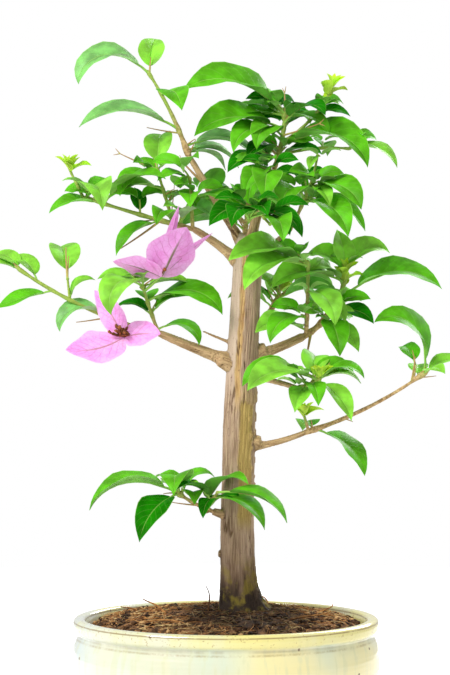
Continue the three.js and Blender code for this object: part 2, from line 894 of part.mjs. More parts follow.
const bonsai = new THREE.Group();
bonsai.name = "bougainvillea_bonsai";
bonsai.add(meshOf(buildPot(), "pot", COLOURS.glaze, 0.2));
bonsai.add(meshOf(buildSoil(), "soil", COLOURS.soil, 0.95));
bonsai.add(meshOf(trunk, "trunk", COLOURS.bark, 0.85));
for (const [name, { solid }] of Object.entries(boughs)) {
  bonsai.add(meshOf(solid, name, COLOURS.bark, 0.85));
}
for (const [name, solid] of Object.entries(sprays)) {
  bonsai.add(meshOf(solid, name, COLOURS.leaf, 0.45));
}

export default bonsai;
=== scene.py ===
# %% [markdown]
# # A bougainvillea bonsai in an oval glazed pot
# A small tree in a shallow pot: a straight bare trunk with peeling bark, thin boughs, open sprays of glossy
# leaves and two blooms of lilac bracts. The imported model comes in first. It is the frame that every piece
# below is fitted to.

# %% Load the frame
import math

import bpy
import numpy as np
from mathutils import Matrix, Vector, noise


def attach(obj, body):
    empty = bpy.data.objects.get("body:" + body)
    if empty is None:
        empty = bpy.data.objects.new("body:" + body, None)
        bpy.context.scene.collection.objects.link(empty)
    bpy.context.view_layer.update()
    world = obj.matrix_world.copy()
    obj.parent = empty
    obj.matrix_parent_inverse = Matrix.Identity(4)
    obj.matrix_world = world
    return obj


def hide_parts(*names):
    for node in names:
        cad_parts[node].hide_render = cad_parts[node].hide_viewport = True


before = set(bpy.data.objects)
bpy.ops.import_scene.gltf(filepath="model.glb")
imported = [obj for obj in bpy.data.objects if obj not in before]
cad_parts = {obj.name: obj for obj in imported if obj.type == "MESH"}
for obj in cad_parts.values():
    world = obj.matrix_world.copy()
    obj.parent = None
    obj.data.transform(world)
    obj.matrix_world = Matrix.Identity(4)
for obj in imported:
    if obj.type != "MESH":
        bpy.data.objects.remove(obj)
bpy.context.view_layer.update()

MM = 0.001  # the tables below are in millimetres
spray_nodes = sorted(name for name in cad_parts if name.endswith("_spray"))
limb_nodes = sorted(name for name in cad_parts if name.endswith("_bough")) + ["trunk"]
print("frame:", len(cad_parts), "nodes,", len(spray_nodes), "sprays")

# %% [markdown]
# ## Camera, light and floor
# The picture was taken level with the middle of the trunk from about a metre away, with a long lens, on
# white. The world is white to the camera but lights the tree with less than that, so that pale things keep
# their colours against a white ground. One large lamp from the upper left gives the leaves and the glaze
# their highlights, and one from behind lets the leaves glow. More lamps would give too many highlights.

# %% Camera, light and floor
CAMERA_PLACE, LENS = (-0.0005, -0.93, 0.199), 99.2
TREE_MIDDLE = (0, 0, 0.22)
LIGHT_GIVEN, WHITE_SEEN = 0.7, 1.0  # the world's strength for the tree, and for the camera
bpy.ops.object.select_all(action="DESELECT")
bpy.ops.object.camera_add(location=CAMERA_PLACE, rotation=(math.pi / 2, 0, 0))
camera = bpy.context.object
camera.data.lens = LENS
bpy.context.scene.camera = camera


def softbox(name, place, size, watts):
    """A square lamp that looks from its place to the middle of the tree."""
    turn = (Vector(TREE_MIDDLE) - Vector(place)).to_track_quat("-Z", "Y").to_euler()
    bpy.ops.object.light_add(type="AREA", location=place, rotation=turn)
    lamp = bpy.context.object
    lamp.name, lamp.data.size, lamp.data.energy = name, size, watts


softbox("key_lamp", (-0.7, -0.75, 0.95), 0.5, 16)
softbox("back_lamp", (0.55, 0.75, 0.75), 0.6, 10)
world = bpy.data.worlds.new("white_studio")
world.use_nodes = True
nodes, links = world.node_tree.nodes, world.node_tree.links
nodes["Background"].inputs["Color"].default_value = (1, 1, 1, 1)
strength = nodes.new("ShaderNodeMapRange")
for key, value in (("To Min", LIGHT_GIVEN), ("To Max", WHITE_SEEN)):
    strength.inputs[key].default_value = value
links.new(nodes.new("ShaderNodeLightPath").outputs["Is Camera Ray"], strength.inputs["Value"])
links.new(strength.outputs[0], nodes["Background"].inputs["Strength"])
bpy.context.scene.world = world
bpy.context.scene.view_settings.view_transform = "Standard"

bpy.ops.mesh.primitive_circle_add(vertices=64, radius=0.7, fill_type="NGON")
floor = bpy.context.object
floor.name = "floor"
print("camera at", tuple(round(c, 4) for c in camera.location), "lens", camera.data.lens)

# %% [markdown]
# ## Shader maths as Python
# Materials are written as expressions. A Signal wraps one socket, and adding or multiplying two of them
# adds a Math node. Any other node comes from the method node, which sets its settings first and then its
# sockets. That reads better than a list of nodes and links, and a slip in it is easier to see.

# %% Signals
class Signal:
    """A socket's value on its way through a material, with the arithmetic that shader maths needs."""

    def __init__(self, tree, socket=None):
        self.tree, self.socket = tree, socket

    def node(self, kind, settings=(), sockets=(), output=0):
        made = self.tree.nodes.new("ShaderNode" + kind)
        for key, value in dict(settings).items():
            setattr(made, key, value)
        for key, value in dict(sockets).items():
            if isinstance(value, Signal):
                self.tree.links.new(value.socket, made.inputs[key])
            else:
                made.inputs[key].default_value = value
        return Signal(self.tree, made.outputs[output])

    def maths(self, operation, *values):
        return self.node("Math", {"operation": operation}, enumerate(values))

    def __add__(self, other):
        return self.maths("ADD", self, other)

    def __sub__(self, other):
        return self.maths("SUBTRACT", self, other)

    def __rsub__(self, other):
        return self.maths("SUBTRACT", other, self)

    def __mul__(self, other):
        return self.maths("MULTIPLY", self, other)

    def __abs__(self):
        return self.maths("ABSOLUTE", self)

    __radd__, __rmul__ = __add__, __mul__


print("signals ready")

# %% [markdown]
# ## Words for finishes
# A finish is mostly noise, smooth steps and layers of colour, so each of these gets a short name. A finish
# below then reads like a recipe: a ground colour, and what lies over it, how strongly and where.

# %% Words for finishes
def finish(name, sockets):
    """A new material with its shader's constant sockets set, the shader, and its Object coordinates."""
    material = bpy.data.materials.new(name)
    material.use_nodes = True
    shader = material.node_tree.nodes["Principled BSDF"]
    for key, value in sockets.items():
        shader.inputs[key].default_value = value
    place = Signal(material.node_tree).node("TexCoord", output="Object")
    return material, shader, place


def feed(shader, **signals):
    """Links signals to the shader's sockets, which are named with _ for a space."""
    for key, signal in signals.items():
        signal.tree.links.new(signal.socket, shader.inputs[key.replace("_", " ")])


def colour(red, green, blue):
    """A display colour from 0 to 255 as the linear colour that a shader takes."""
    return *(((c / 255 + 0.055) / 1.055) ** 2.4 for c in (red, green, blue)), 1


def cloud(place, scale, detail=3.0):
    return place.node("TexNoise", {}, {"Vector": place, "Scale": scale, "Detail": detail})


def stretched(place, x, y, z):
    return place.node("VectorMath", {"operation": "MULTIPLY"}, {0: place, 1: (x, y, z)})


def coordinate(place, axis):
    return place.node("SeparateXYZ", {}, {0: place}, output=axis)


def rising(signal, low, high):
    """0 below low, 1 above high and smooth between; falling where high is below low."""
    sockets = {"Value": signal, "From Min": low, "From Max": high}
    return signal.node("MapRange", {"interpolation_type": "SMOOTHSTEP"}, sockets)


def blend(share, first, second):
    return share.node("Mix", {"data_type": "RGBA"}, {0: share, 6: first, 7: second}, output=2)


def layered(ground, *layers):
    """A colour with others laid over it in turn, each given as a mask, a share and a colour."""
    for mask, share, over in layers:
        ground = blend(mask * share, ground, over)
    return ground


def relief(height, depth, strength=1.0):
    """A Bump node's normal for a height from 0 to 1 that stands for a depth in millimetres."""
    return height.node("Bump", {}, {"Height": height, "Distance": depth * MM, "Strength": strength})


print("words for finishes ready")

# %% [markdown]
# ## Small helpers for modelling
# An operator works on whatever is selected, so each step first selects just the piece it means. A finished
# piece rides on the frame's body and hides the frame's nodes that it stands for.

# %% Modelling helpers
def pick(*pieces):
    """Selects just these objects and makes the first one active."""
    bpy.ops.object.select_all(action="DESELECT")
    for piece in pieces:
        piece.select_set(True)
    bpy.context.view_layer.objects.active = pieces[0]


def apply(piece, kind, **settings):
    """Adds a modifier, sets it up and applies it."""
    pick(piece)
    modifier = piece.modifiers.new(kind.title(), kind)
    for key, value in settings.items():
        setattr(modifier, key, value)
    bpy.ops.object.modifier_apply(modifier=modifier.name)


def smooth(piece, angle):
    pick(piece)
    bpy.ops.object.shade_smooth_by_angle(angle=math.radians(angle))


def settle(piece, name, materials, nodes=()):
    """Names a finished piece, gives it its materials and puts it on the frame."""
    piece.name = piece.data.name = name
    for material in materials:
        piece.data.materials.append(material)
    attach(piece, "root")
    if nodes:
        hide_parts(*nodes)
    piece.data.calc_loop_triangles()
    print(name, len(piece.data.loop_triangles), "triangles")


def places(piece):
    """A mesh's vertices in millimetres."""
    points = np.empty(len(piece.data.vertices) * 3, np.float32)
    piece.data.vertices.foreach_get("co", points)
    return points.reshape(-1, 3).astype(float) / MM


def replace_places(piece, points):
    piece.data.vertices.foreach_set("co", (points * MM).astype(np.float32).ravel())
    piece.data.update()


def lumps(points, scale, shift=0.0):
    """Smooth noise from -1 to 1 at each point."""
    return np.array([noise.noise(Vector(p)) for p in points * scale + shift])


print("modelling helpers ready")

# %% [markdown]
# ## The pot
# The pot is thrown and pressed oval: a thin lip, a groove under it, a bulging body and four low feet. A
# lathe shape is drawn as half a profile and spun, and the spun round is then squeezed front to back. The
# corners of the profile are cut twice, so the clay has no hard edges. Feet and drain holes are booleans,
# because they cut across the rings.

# %% Pot body
RIM, POT_HEIGHT, FOOT, SQUEEZE = 76.5, 59.4, 5.0, 122 / 153
OUTER_WALL = [
    (RIM - 25, FOOT), (RIM - 12, FOOT + 5.5), (RIM - 3, FOOT + 17), (RIM + 0.9, POT_HEIGHT - 24),
    (RIM + 0.4, POT_HEIGHT - 15), (RIM - 2.4, POT_HEIGHT - 8.4), (RIM - 2.4, POT_HEIGHT - 7.4),
    (RIM - 0.3, POT_HEIGHT - 6), (RIM + 0.1, POT_HEIGHT - 2.4), (RIM - 1.2, POT_HEIGHT),
    (RIM - 5.4, POT_HEIGHT), (RIM - 6.4, POT_HEIGHT - 1.6),
]
INNER_WALL = [
    (RIM - 7.6, POT_HEIGHT - 7), (RIM - 7.2, POT_HEIGHT - 17), (RIM - 8.5, FOOT + 24), (RIM - 15, FOOT + 11),
    (RIM - 27, FOOT + 6),
]


def softened(points, rounds=2):
    """A line with its corners cut, which keeps its two ends."""
    for _ in range(rounds):
        cut = [points[0]]
        for (x0, z0), (x1, z1) in zip(points, points[1:]):
            cut += [(0.75 * x0 + 0.25 * x1, 0.75 * z0 + 0.25 * z1)]
            cut += [(0.25 * x0 + 0.75 * x1, 0.25 * z0 + 0.75 * z1)]
        points = cut + [points[-1]]
    return points


def spun(points, steps):
    """Extrudes a vertex along a profile, spins it round the pot's middle and squeezes the round oval."""
    bpy.ops.object.select_all(action="DESELECT")
    bpy.ops.mesh.primitive_plane_add(size=MM)
    bpy.ops.object.mode_set(mode="EDIT")
    bpy.ops.mesh.merge(type="CENTER")
    bpy.ops.transform.translate(value=(points[0][0] * MM, 0, points[0][1] * MM))
    for (x0, z0), (x1, z1) in zip(points, points[1:]):
        step = ((x1 - x0) * MM, 0, (z1 - z0) * MM)
        bpy.ops.mesh.extrude_region_move(TRANSFORM_OT_translate={"value": step})
    bpy.ops.mesh.select_all(action="SELECT")
    bpy.ops.mesh.spin(steps=steps, angle=2 * math.pi, center=(0, 0, 0), axis=(0, 0, 1))
    bpy.ops.mesh.select_all(action="SELECT")
    bpy.ops.mesh.remove_doubles(threshold=1e-6)
    bpy.ops.mesh.normals_make_consistent(inside=False)
    bpy.ops.transform.resize(value=(1, SQUEEZE, 1), center_override=(0, 0, 0))
    bpy.ops.object.mode_set(mode="OBJECT")
    return bpy.context.object


pot = spun(softened([(0, FOOT), *OUTER_WALL, *INNER_WALL, (0, FOOT + 5.5)]), 128)
feet = spun([(RIM - 34, 0.6), (RIM - 33.4, 0), (RIM - 27.6, 0), (RIM - 27, 0.6), (RIM - 26, FOOT + 1),
             (RIM - 35, FOOT + 1), (RIM - 34, 0.6)], 128)
print("pot wall", len(pot.data.polygons), "faces; foot ring", len(feet.data.polygons))

# %% Feet and drain holes
FOOT_GAPS = ((160, 32.2), (46, 130))  # width and depth of the two gaps that part the ring into four feet
DRAIN_RADIUS, DRAIN_OUT = 6, 26


def combine(piece, other, operation):
    """Joins another object to a piece, or cuts it away, and removes it."""
    apply(piece, "BOOLEAN", object=other, operation=operation)
    bpy.data.objects.remove(other)


for width, depth in FOOT_GAPS:
    bpy.ops.mesh.primitive_cube_add(size=MM, scale=(width, depth, 10))
    combine(feet, bpy.context.object, "DIFFERENCE")
combine(pot, feet, "UNION")
for x in (-DRAIN_OUT, DRAIN_OUT):
    bpy.ops.mesh.primitive_cylinder_add(vertices=40, radius=DRAIN_RADIUS * MM, depth=20 * MM,
                                        location=(x * MM, 0, FOOT * MM))
    combine(pot, bpy.context.object, "DIFFERENCE")
smooth(pot, 40)
print("pot", len(pot.data.polygons), "faces")

# %% [markdown]
# ## The glaze
# The glaze is cream with pools of pale green and warm yellow, and it ran down before it set, so the pools
# are clouds that are stretched upright. The yellow is shifted to the right and a cool blue white is laid on the
# left: that shift from side to side is painted light, warm light on the right and a painted highlight on the left.
# It broke thin and brown along the lip's edge, in the groove and on a line below that, which are masks by height.
# Fine specks are dots of a Voronoi pattern. The gloss is a clear coat.

# %% Glaze
glaze, shader, place = finish("cream_glaze", {"Roughness": 0.16, "Coat Weight": 0.8, "Coat Roughness": 0.04})
height, across = coordinate(place, "Z"), coordinate(place, "X")
runs = cloud(stretched(place, 1, 1, 0.25), 46, 4)
pools = cloud(place, 22, 2)
threads = cloud(stretched(place, 1, 1, 0.07), 330, 3)
grain = cloud(place, 900, 2)
round_about = cloud(stretched(place, 1, 1, 0.2), 120, 3)
lip = rising(height, (POT_HEIGHT - 7.2) * MM, (POT_HEIGHT - 5.6) * MM)
dots, picked = (place.node("TexVoronoi", {}, {"Vector": place, "Scale": 170}, output=kind)
                for kind in ("Distance", "Color"))
specks = rising(dots, 0.16, 0.1) * rising(coordinate(picked, "X"), 0.82, 0.86)


def line_round(below, half):
    """A line round the pot at some millimetres below its top."""
    return rising(abs(height - (POT_HEIGHT - below) * MM), half * MM, 0.1 * MM)


cream = layered(
    blend(rising(runs, 0.35, 0.65), colour(204, 203, 176), colour(194, 205, 183)),
    (rising(pools + across * 2.2, 0.46, 0.72), 0.85, colour(226, 213, 150)),  # the glaze's yellow pools, shifted to the right as painted warm light
    (rising(pools * 0.6 - across * 6.0, 0.5, 0.85), 0.7, colour(194, 205, 208)),  # cool blue white to the left: painted highlight
    (rising(threads, 0.5, 0.64), 0.45, colour(196, 198, 158)),
    (lip * rising(runs + across * 1.2, 0.3, 0.62), 0.75, colour(218, 206, 120)),
    (lip * rising(grain, 0.62, 0.7), 0.6, colour(150, 112, 62)),
    (line_round(8.1, 1.3) * rising(round_about, 0.36, 0.64), 0.5, colour(150, 140, 114)),
    (line_round(9.8, 0.9) * rising(round_about + grain * 0.5, 0.55, 0.95), 0.5, colour(134, 108, 62)),
    (line_round(1.5, 0.55) * rising(round_about + grain * 0.4, 0.4, 0.7), 0.75, colour(122, 96, 48)),
    (specks, 0.85, colour(96, 74, 50)),
)
throwing = height.maths("SINE", height * 2600.0)
feed(shader, Base_Color=cream, Roughness=0.12 + 0.12 * runs)
feed(shader, Normal=relief(throwing * 0.12 + runs * 1.4 + pools, 0.35, 0.6))
settle(pot, "pot_glazed", [glaze], ["pot"])

# %% [markdown]
# ## The potting mix
# The soil is a mound of dark crumbs with reddish coir. The mound itself is spun like the pot and its top is
# pushed about with noise. A bump alone would leave the mound's edge straight against the glaze. Small things
# that repeat are gathered in a heap, a list of points and faces, and become one piece at the end.

# %% Soil mound
SOIL_TOP, SOIL_EDGE, SOIL_REACH = 62.7, 54.6, RIM - 8.1


def mound_height(x, y):
    """How high the potting mix lies at a place."""
    out = np.hypot(x, np.asarray(y) / SQUEEZE)
    return np.interp(out, [0, 26, RIM - 16, SOIL_REACH], [SOIL_TOP, SOIL_TOP, 58.2, SOIL_EDGE])


rings = [(SOIL_REACH * k / 44, float(mound_height(SOIL_REACH * k / 44, 0))) for k in range(45)]
wall = [(x - 0.5, z + 0.3) for x, z in INNER_WALL]
soil = spun([*rings, *wall[1:], (0, FOOT + 6.1)], 144)
points = places(soil)
out = np.hypot(points[:, 0], points[:, 1] / SQUEEZE)
top = np.clip((points[:, 2] - 53) / 1.5, 0, 1) * np.clip((SOIL_REACH + 1 - out) / 4, 0.25, 1)
points[:, 2] += top * (0.9 * lumps(points, 0.12) + 0.8 * lumps(points, 0.45, 9) + 0.4 * lumps(points, 1.1, 21))
replace_places(soil, points)
smooth(soil, 60)
print("soil mound", len(soil.data.polygons), "faces")

# %% Heaps of small things
def new_heap():
    return {"points": [], "faces": [], "index": [], "uv": [], "ripe": [], "count": 0}


def add_to(heap, points, faces, index=0, uv=None, ripe=0.0):
    """Adds one small closed mesh to a heap, with a material index for each face or for all of them."""
    heap["points"].append(points)
    heap["faces"] += [[corner + heap["count"] for corner in face] for face in faces]
    heap["index"].append(np.broadcast_to(index, len(faces)))
    heap["uv"].append(np.zeros((len(points), 2)) if uv is None else uv)
    heap["ripe"].append(np.broadcast_to(ripe, len(points)))
    heap["count"] += len(points)


def settle_heap(heap, name, materials, nodes=(), angle=None):
    """Makes a heap one piece, with its materials, UV map and attribute ripe, and puts it on the frame."""
    mesh = bpy.data.meshes.new(name)
    mesh.from_pydata((np.vstack(heap["points"]) * MM).tolist(), [], heap["faces"])
    for material in materials:
        mesh.materials.append(material)
    mesh.polygons.foreach_set("material_index", np.concatenate(heap["index"]).astype(np.int32))
    corners = np.empty(len(mesh.loops), np.int32)
    mesh.loops.foreach_get("vertex_index", corners)
    uv = np.vstack(heap["uv"])[corners].astype(np.float32)
    mesh.uv_layers.new(name="blade").data.foreach_set("uv", uv.ravel())
    ripe = mesh.attributes.new("ripe", "FLOAT", "POINT")
    ripe.data.foreach_set("value", np.concatenate(heap["ripe"]).astype(np.float32))
    piece = bpy.data.objects.new(name, mesh)
    bpy.context.collection.objects.link(piece)
    if angle:
        smooth(piece, angle)
    settle(piece, name, (), nodes)


def tube(points, radii, sides):
    """The points and faces of a closed tube along a line."""
    points, radii = np.asarray(points, float), np.asarray(radii, float)
    along = np.gradient(points, axis=0)
    along /= np.linalg.norm(along, axis=1, keepdims=True)
    upright = np.array([1.0, 0, 0]) if abs(along[:, 2]).mean() > 0.8 else np.array([0, 0, 1.0])
    side = np.cross(along, upright)
    side /= np.linalg.norm(side, axis=1, keepdims=True)
    upper = np.cross(side, along)
    angle = np.arange(sides) / sides * 2 * math.pi
    ring = np.cos(angle)[None, :, None] * side[:, None] + np.sin(angle)[None, :, None] * upper[:, None]
    skin = (points[:, None] + radii[:, None, None] * ring).reshape(-1, 3)
    last = (len(points) - 1) * sides
    faces = [[i + j, i + sides + j, i + sides + (j + 1) % sides, i + (j + 1) % sides]
             for i in range(0, last, sides) for j in range(sides)]
    return skin, faces + [list(range(sides)), [last + j for j in reversed(range(sides))]]


def seeded(seed):
    """A repeatable stream of numbers from 0 to 1."""
    multiplier, increment, span = 1664525, 1013904223, 2**32
    state = [seed]

    def draw():
        state[0] = (state[0] * multiplier + increment) % span
        return state[0] / span

    return draw


print("heaps ready")

# %% [markdown]
# ## Crumbs, coir and twiglets
# Bark crumbs and curled fibres of coir lie loose on the mound. Each crumb is the same twenty-sided lump with
# its own squeeze, and each fibre a thin tube that follows the mound. A few dead twiglets stick out of it.

# %% Crumbs and coir
CRUMBS, FIBRES = 2800, 950
chance = seeded(7)
bpy.ops.mesh.primitive_ico_sphere_add(subdivisions=1, radius=MM)
lump = bpy.context.object
lump_points, lump_faces = places(lump), [list(face.vertices) for face in lump.data.polygons]
bpy.data.objects.remove(lump)


def soil_spot(inset):
    """A place on the mound, as x and y."""
    out, bearing = (SOIL_REACH - inset) * math.sqrt(chance()), 2 * math.pi * chance()
    return out * math.cos(bearing), out * math.sin(bearing) * SQUEEZE


crumbs = new_heap()
for _ in range(CRUMBS):
    x, y = soil_spot(1.6)
    size = 0.3 + 1.3 * chance() ** 4
    squeeze = np.array([0.7 + 0.9 * chance(), 0.7 + 0.9 * chance(), 0.5 + 0.5 * chance()]) * size
    knobbly = lump_points * (1 + 0.35 * lumps(lump_points, 0.9, 50 * chance()))[:, None]
    spot = (x, y, mound_height(x, y) + 0.35 * size)
    add_to(crumbs, knobbly * squeeze + spot, lump_faces, 0 if chance() < 0.72 else 1)
fibres = new_heap()
for _ in range(FIBRES):
    x, y = soil_spot(4)
    length, bearing, curl = 3 + 11 * chance() ** 2, 2 * math.pi * chance(), 3.4 * (chance() - 0.5)
    thick = 0.6 + 0.7 * chance() ** 2
    step, spot, line = length / 6, np.array([x, y, float(mound_height(x, y)) + 0.6]), []
    rise = 0.5 * chance()
    for k in range(7):
        line.append(spot + (0, 0, 1.8 * rise * math.sin(math.pi * k / 6) + 0.3 * chance()))
        spot = spot + step * np.array([math.cos(bearing + curl * k / 6), math.sin(bearing + curl * k / 6), 0])
        spot[2] = float(mound_height(spot[0], spot[1])) + 0.6
    out = np.hypot(line[-1][0], line[-1][1] / SQUEEZE)
    if out < SOIL_REACH - 1.5:
        radii = thick * np.array([0.08, 0.16, 0.19, 0.19, 0.17, 0.14, 0.06])
        add_to(fibres, *tube(line, radii, 3), index=0 if chance() < 0.6 else 1)
print("crumbs", len(crumbs["points"]), "fibres", len(fibres["points"]))

# %% Twiglets in the soil
TWIGLETS = [  # foot x and y, then bearing, rise, length and thickness of each
    (-30, -8, 155, 36, 14, 0.65), (-9, -3, 70, 60, 14, 0.5), (-44, 12, 200, 20, 14, 0.5),
    (30, -22, 340, 12, 22, 0.6), (46, 6, 30, 14, 16, 0.5), (-20, -30, 170, 8, 20, 0.5),
    (22, 26, 100, 24, 15, 0.5),
]
for x, y, bearing, rise, length, thick in TWIGLETS:
    share = np.linspace(-0.15, 1, 9)
    bend = np.radians(bearing) + 0.5 * share**2
    level, up = math.cos(math.radians(rise)) * length, math.sin(math.radians(rise)) * length
    line = np.stack([x + level * share * np.cos(bend), y + level * share * np.sin(bend),
                     float(mound_height(x, y)) + up * share + 0.6 * np.sin(5 * share)], -1)
    add_to(fibres, *tube(line, thick * (1 - 0.6 * np.clip(share, 0, 1)), 5))
print("twiglets", len(TWIGLETS))

# %% [markdown]
# ## Finishes of the potting mix
# Damp crumbs are nearly black, dry ones a red brown, and coir is lighter than both. Each lump gets one of
# two browns, a cloud on Object coordinates varies them, and all of them darken before the trunk.

# %% Soil finishes
DARK_SPOT_BEFORE_TRUNK = (0.01, -0.012, 0)  # the middle of the darker patch before the trunk, in metres


def earth(name, dark, light, scale):
    """Soil of two browns, nearly black round a spot before the trunk."""
    material, shader, place = finish(name, {"Specular IOR Level": 0.15})
    share = cloud(place, scale, 4)
    brown = blend(rising(share, 0.32, 0.68), dark, light)
    level = stretched(place, 1, 1, 0)
    off = place.node("VectorMath", {"operation": "DISTANCE"}, {0: level, 1: DARK_SPOT_BEFORE_TRUNK}, output="Value")
    # darker towards a spot just before the trunk
    dark_round_spot = rising(off + 0.03 * (cloud(place, 60, 2) - 0.5), 0.052, 0.018)
    brown = blend(dark_round_spot * 0.82, brown, colour(26, 17, 12))
    feed(shader, Base_Color=brown, Roughness=0.8 + 0.2 * share)
    feed(shader, Normal=relief(cloud(place, scale * 4, 3), 0.4))
    return material


mould = earth("dark_mould", colour(36, 24, 16), colour(140, 100, 64), 260)
dry_crumb = earth("dry_crumb", colour(122, 86, 54), colour(204, 164, 112), 420)
damp_crumb = earth("damp_crumb", colour(24, 16, 11), colour(98, 68, 44), 420)
coir = earth("red_coir", colour(140, 88, 46), colour(204, 148, 88), 500)
pale_coir = earth("pale_coir", colour(150, 122, 78), colour(226, 196, 140), 500)
settle(soil, "soil_mound", [mould], ["soil"])
settle_heap(crumbs, "soil_crumbs", [damp_crumb, dry_crumb])
settle_heap(fibres, "soil_fibres", [coir, pale_coir])

# %% [markdown]
# ## Directions and arcs
# The tree is grown by the same rule as the solids: every limb, shoot and leaf is an arc that leaves its
# parent at a bearing (0 to the right, 90 away from the viewer) and a rise, and whose slope turns along it.

# %% Directions and arcs
GOLDEN_ANGLE = 137.5


def direction(bearing, rise):
    """A unit vector along a bearing and a rise, or one for each rise in an array."""
    b, r = math.radians(bearing), np.radians(rise)
    return np.stack([np.cos(r) * math.cos(b), np.cos(r) * math.sin(b), np.sin(r)], -1)


def arc(start, bearing, rise, turn, length, ease=1.0, steps=32):
    """Points along an arc with the directions along it, to its side and off its upper face."""
    share = np.linspace(0, 1, steps + 1)
    middles = direction(bearing, rise + turn * ((np.arange(steps) + 0.5) / steps) ** ease)
    points = np.vstack([start, start + np.cumsum(middles, 0) * length / steps])
    along = direction(bearing, rise + turn * share**ease)
    side = np.broadcast_to(direction(bearing + 90, 0), along.shape)
    return {"share": share, "point": points, "along": along, "side": side, "upper": np.cross(along, side)}


def on(path, share, key="point"):
    """A path's point, or another of its directions, at one or more shares of its length."""
    return np.stack([np.interp(share, path["share"], path[key][:, k]) for k in range(3)], -1)


TRUNK_FOOT, TRUNK_HEIGHT = 63.0, 185.0
BOUGHS = {  # height on the trunk, bearing, rise, turn, length from the trunk's middle, and the two diameters
    "left_bough": (122, 187, 19, 4, 44, 7.2, 3.6),
    "right_bough": (125, 12, 14, 12, 33, 6, 4.2),
    "low_right_bough": (81, 355, 3, 20, 34, 3.8, 2.7),
    "mid_right_bough": (116, 322, 0, -16, 36, 3.4, 2.5),
    "upper_left_bough": (170, 186, 44, -14, 33, 6, 3.3),
    "leader_bough": (178, 172, 58, 1, 58, 5, 2.9),
    "crown_bough": (179, 20, 74, -4, 41, 4.4, 2.6),
    "upper_right_bough": (173, 350, 36, 4, 27, 4, 2.5),
    "front_bough": (180, 282, 52, 2, 29, 3.8, 2.5),
    "back_high_bough": (168, 92, 38, 6, 32, 5, 3),
    "back_low_bough": (136, 62, 18, 14, 34, 5, 3),
}


def trunk_axis(height):
    """The middle of the trunk at heights above the soil."""
    share = np.asarray(height, float) / TRUNK_HEIGHT
    bow = -2.2 * np.sin(math.pi * np.clip(share, 0, 1) ** 0.8)
    return np.stack([6.2 + 5.4 * share + bow, 0 * share, TRUNK_FOOT + TRUNK_HEIGHT * share], -1)


bough_paths = {name: arc(trunk_axis(h), b, r, t, l) for name, (h, b, r, t, l, *_) in BOUGHS.items()}
print("boughs", len(bough_paths))

# %% [markdown]
# ## Trunk and boughs
# A limb is drawn as a curve with a thickness at every point and turned into a mesh. The limbs are joined and
# remeshed into one skin, so that each bough grows out of the trunk with a collar and nothing is left of the
# overlaps. Burrs and the stubs of lost twigs are short limbs of the same kind.

# %% Limbs as curves
def limb(points, radii):
    """A closed tube from a curve with a radius at each point."""
    bpy.ops.object.select_all(action="DESELECT")
    bpy.ops.curve.primitive_nurbs_path_add(radius=MM)
    path = bpy.context.object
    path.data.splines.remove(path.data.splines[0])
    spline = path.data.splines.new("POLY")
    spline.points.add(len(points) - 1)
    for knot, point, radius in zip(spline.points, points, radii):
        knot.co, knot.radius = (*(point * MM), 1), radius
    path.data.bevel_depth, path.data.bevel_resolution, path.data.use_fill_caps = MM, 6, True
    bpy.ops.object.convert(target="MESH")
    return bpy.context.object


STUBS = [  # height, bearing, rise, turn, length from the trunk's middle, and the two diameters
    (120, 196, 24, 0, 13, 11, 7), (46, 208, 10, 10, 14, 6.4, 3.6), (131, 186, 20, 4, 22, 2.6, 1.2),
    (84, 352, 0, 0, 11, 8, 6), (127, 8, 14, 0, 12, 9, 7), (28, 190, 0, 0, 9.6, 5, 3),
]
heights = np.concatenate([np.linspace(-4, 30, 20), np.linspace(33, 178, 50), [182, 185, 187]])
thick = (17.6 - 3.2 * np.clip(heights / TRUNK_HEIGHT, 0, 1)) / 2
thick[-3:] *= [0.97, 0.84, 0.5]
limbs = [(trunk_axis(heights), thick)]
for name, (h, b, _, _, length, base, tip) in BOUGHS.items():
    share = np.linspace(0, 1.04, 18)
    path = bough_paths[name]
    points = on(path, np.clip(share, 0, 1)) + np.clip(share - 1, 0, 1)[:, None] * length * path["along"][-1]
    radii = (base + (tip - base) * share) / 2
    radii *= 1 + 0.45 * np.exp(-((np.clip(share * length - 7, 0, 99) / 4.5) ** 2))  # the collar
    radii *= 1 + 0.07 * np.array([noise.noise(Vector((k * 0.9, h, b))) for k in range(18)])
    radii[-1] *= 0.8
    limbs.append((points, radii))
for h, b, r, t, length, base, tip in STUBS:
    path = arc(trunk_axis(h), b, r, t, length, steps=6)
    limbs.append((path["point"], np.linspace(base, tip, 7) / 2))
skins = [limb(points, radii) for points, radii in limbs]
print("limbs", len(skins))

# %% Root flare, then one skin
ROOTS = [(352, 2.6), (95, 1.2), (205, 0.4), (285, 0.9)]  # each surface root's bearing and share of the flare
VOXEL = 0.62
points = places(skins[0])
height = points[:, 2] - TRUNK_FOOT
out = points - trunk_axis(height)
bearing = np.degrees(np.arctan2(out[:, 1], out[:, 0]))
root = 0.15 + sum(share * np.exp(-((((bearing - b + 540) % 360 - 180) / 24) ** 2)) for b, share in ROOTS)
out *= (1 + 0.42 * np.exp(-np.clip(height, 0, 99) / 8) * root)[:, None]
replace_places(skins[0], trunk_axis(height) + out * (1, 1, 0))
pick(*skins)
bpy.ops.object.join()
wood = bpy.context.object
apply(wood, "REMESH", mode="VOXEL", voxel_size=VOXEL * MM)
apply(wood, "SMOOTH", factor=0.5, iterations=3)
print("wood", len(wood.data.polygons), "faces")

# %% [markdown]
# ## Bark relief
# Old bark of this tree splits lengthwise and peels in strips. Each vertex is measured along and round its own
# limb, and pushed in or out by noise that is stretched along the limb. The same numbers are kept on the mesh
# as attributes, so that the colours follow the relief: where a strip has peeled, the wood is honey coloured,
# and where it has torn, a lip of bark stands above the olive wood.

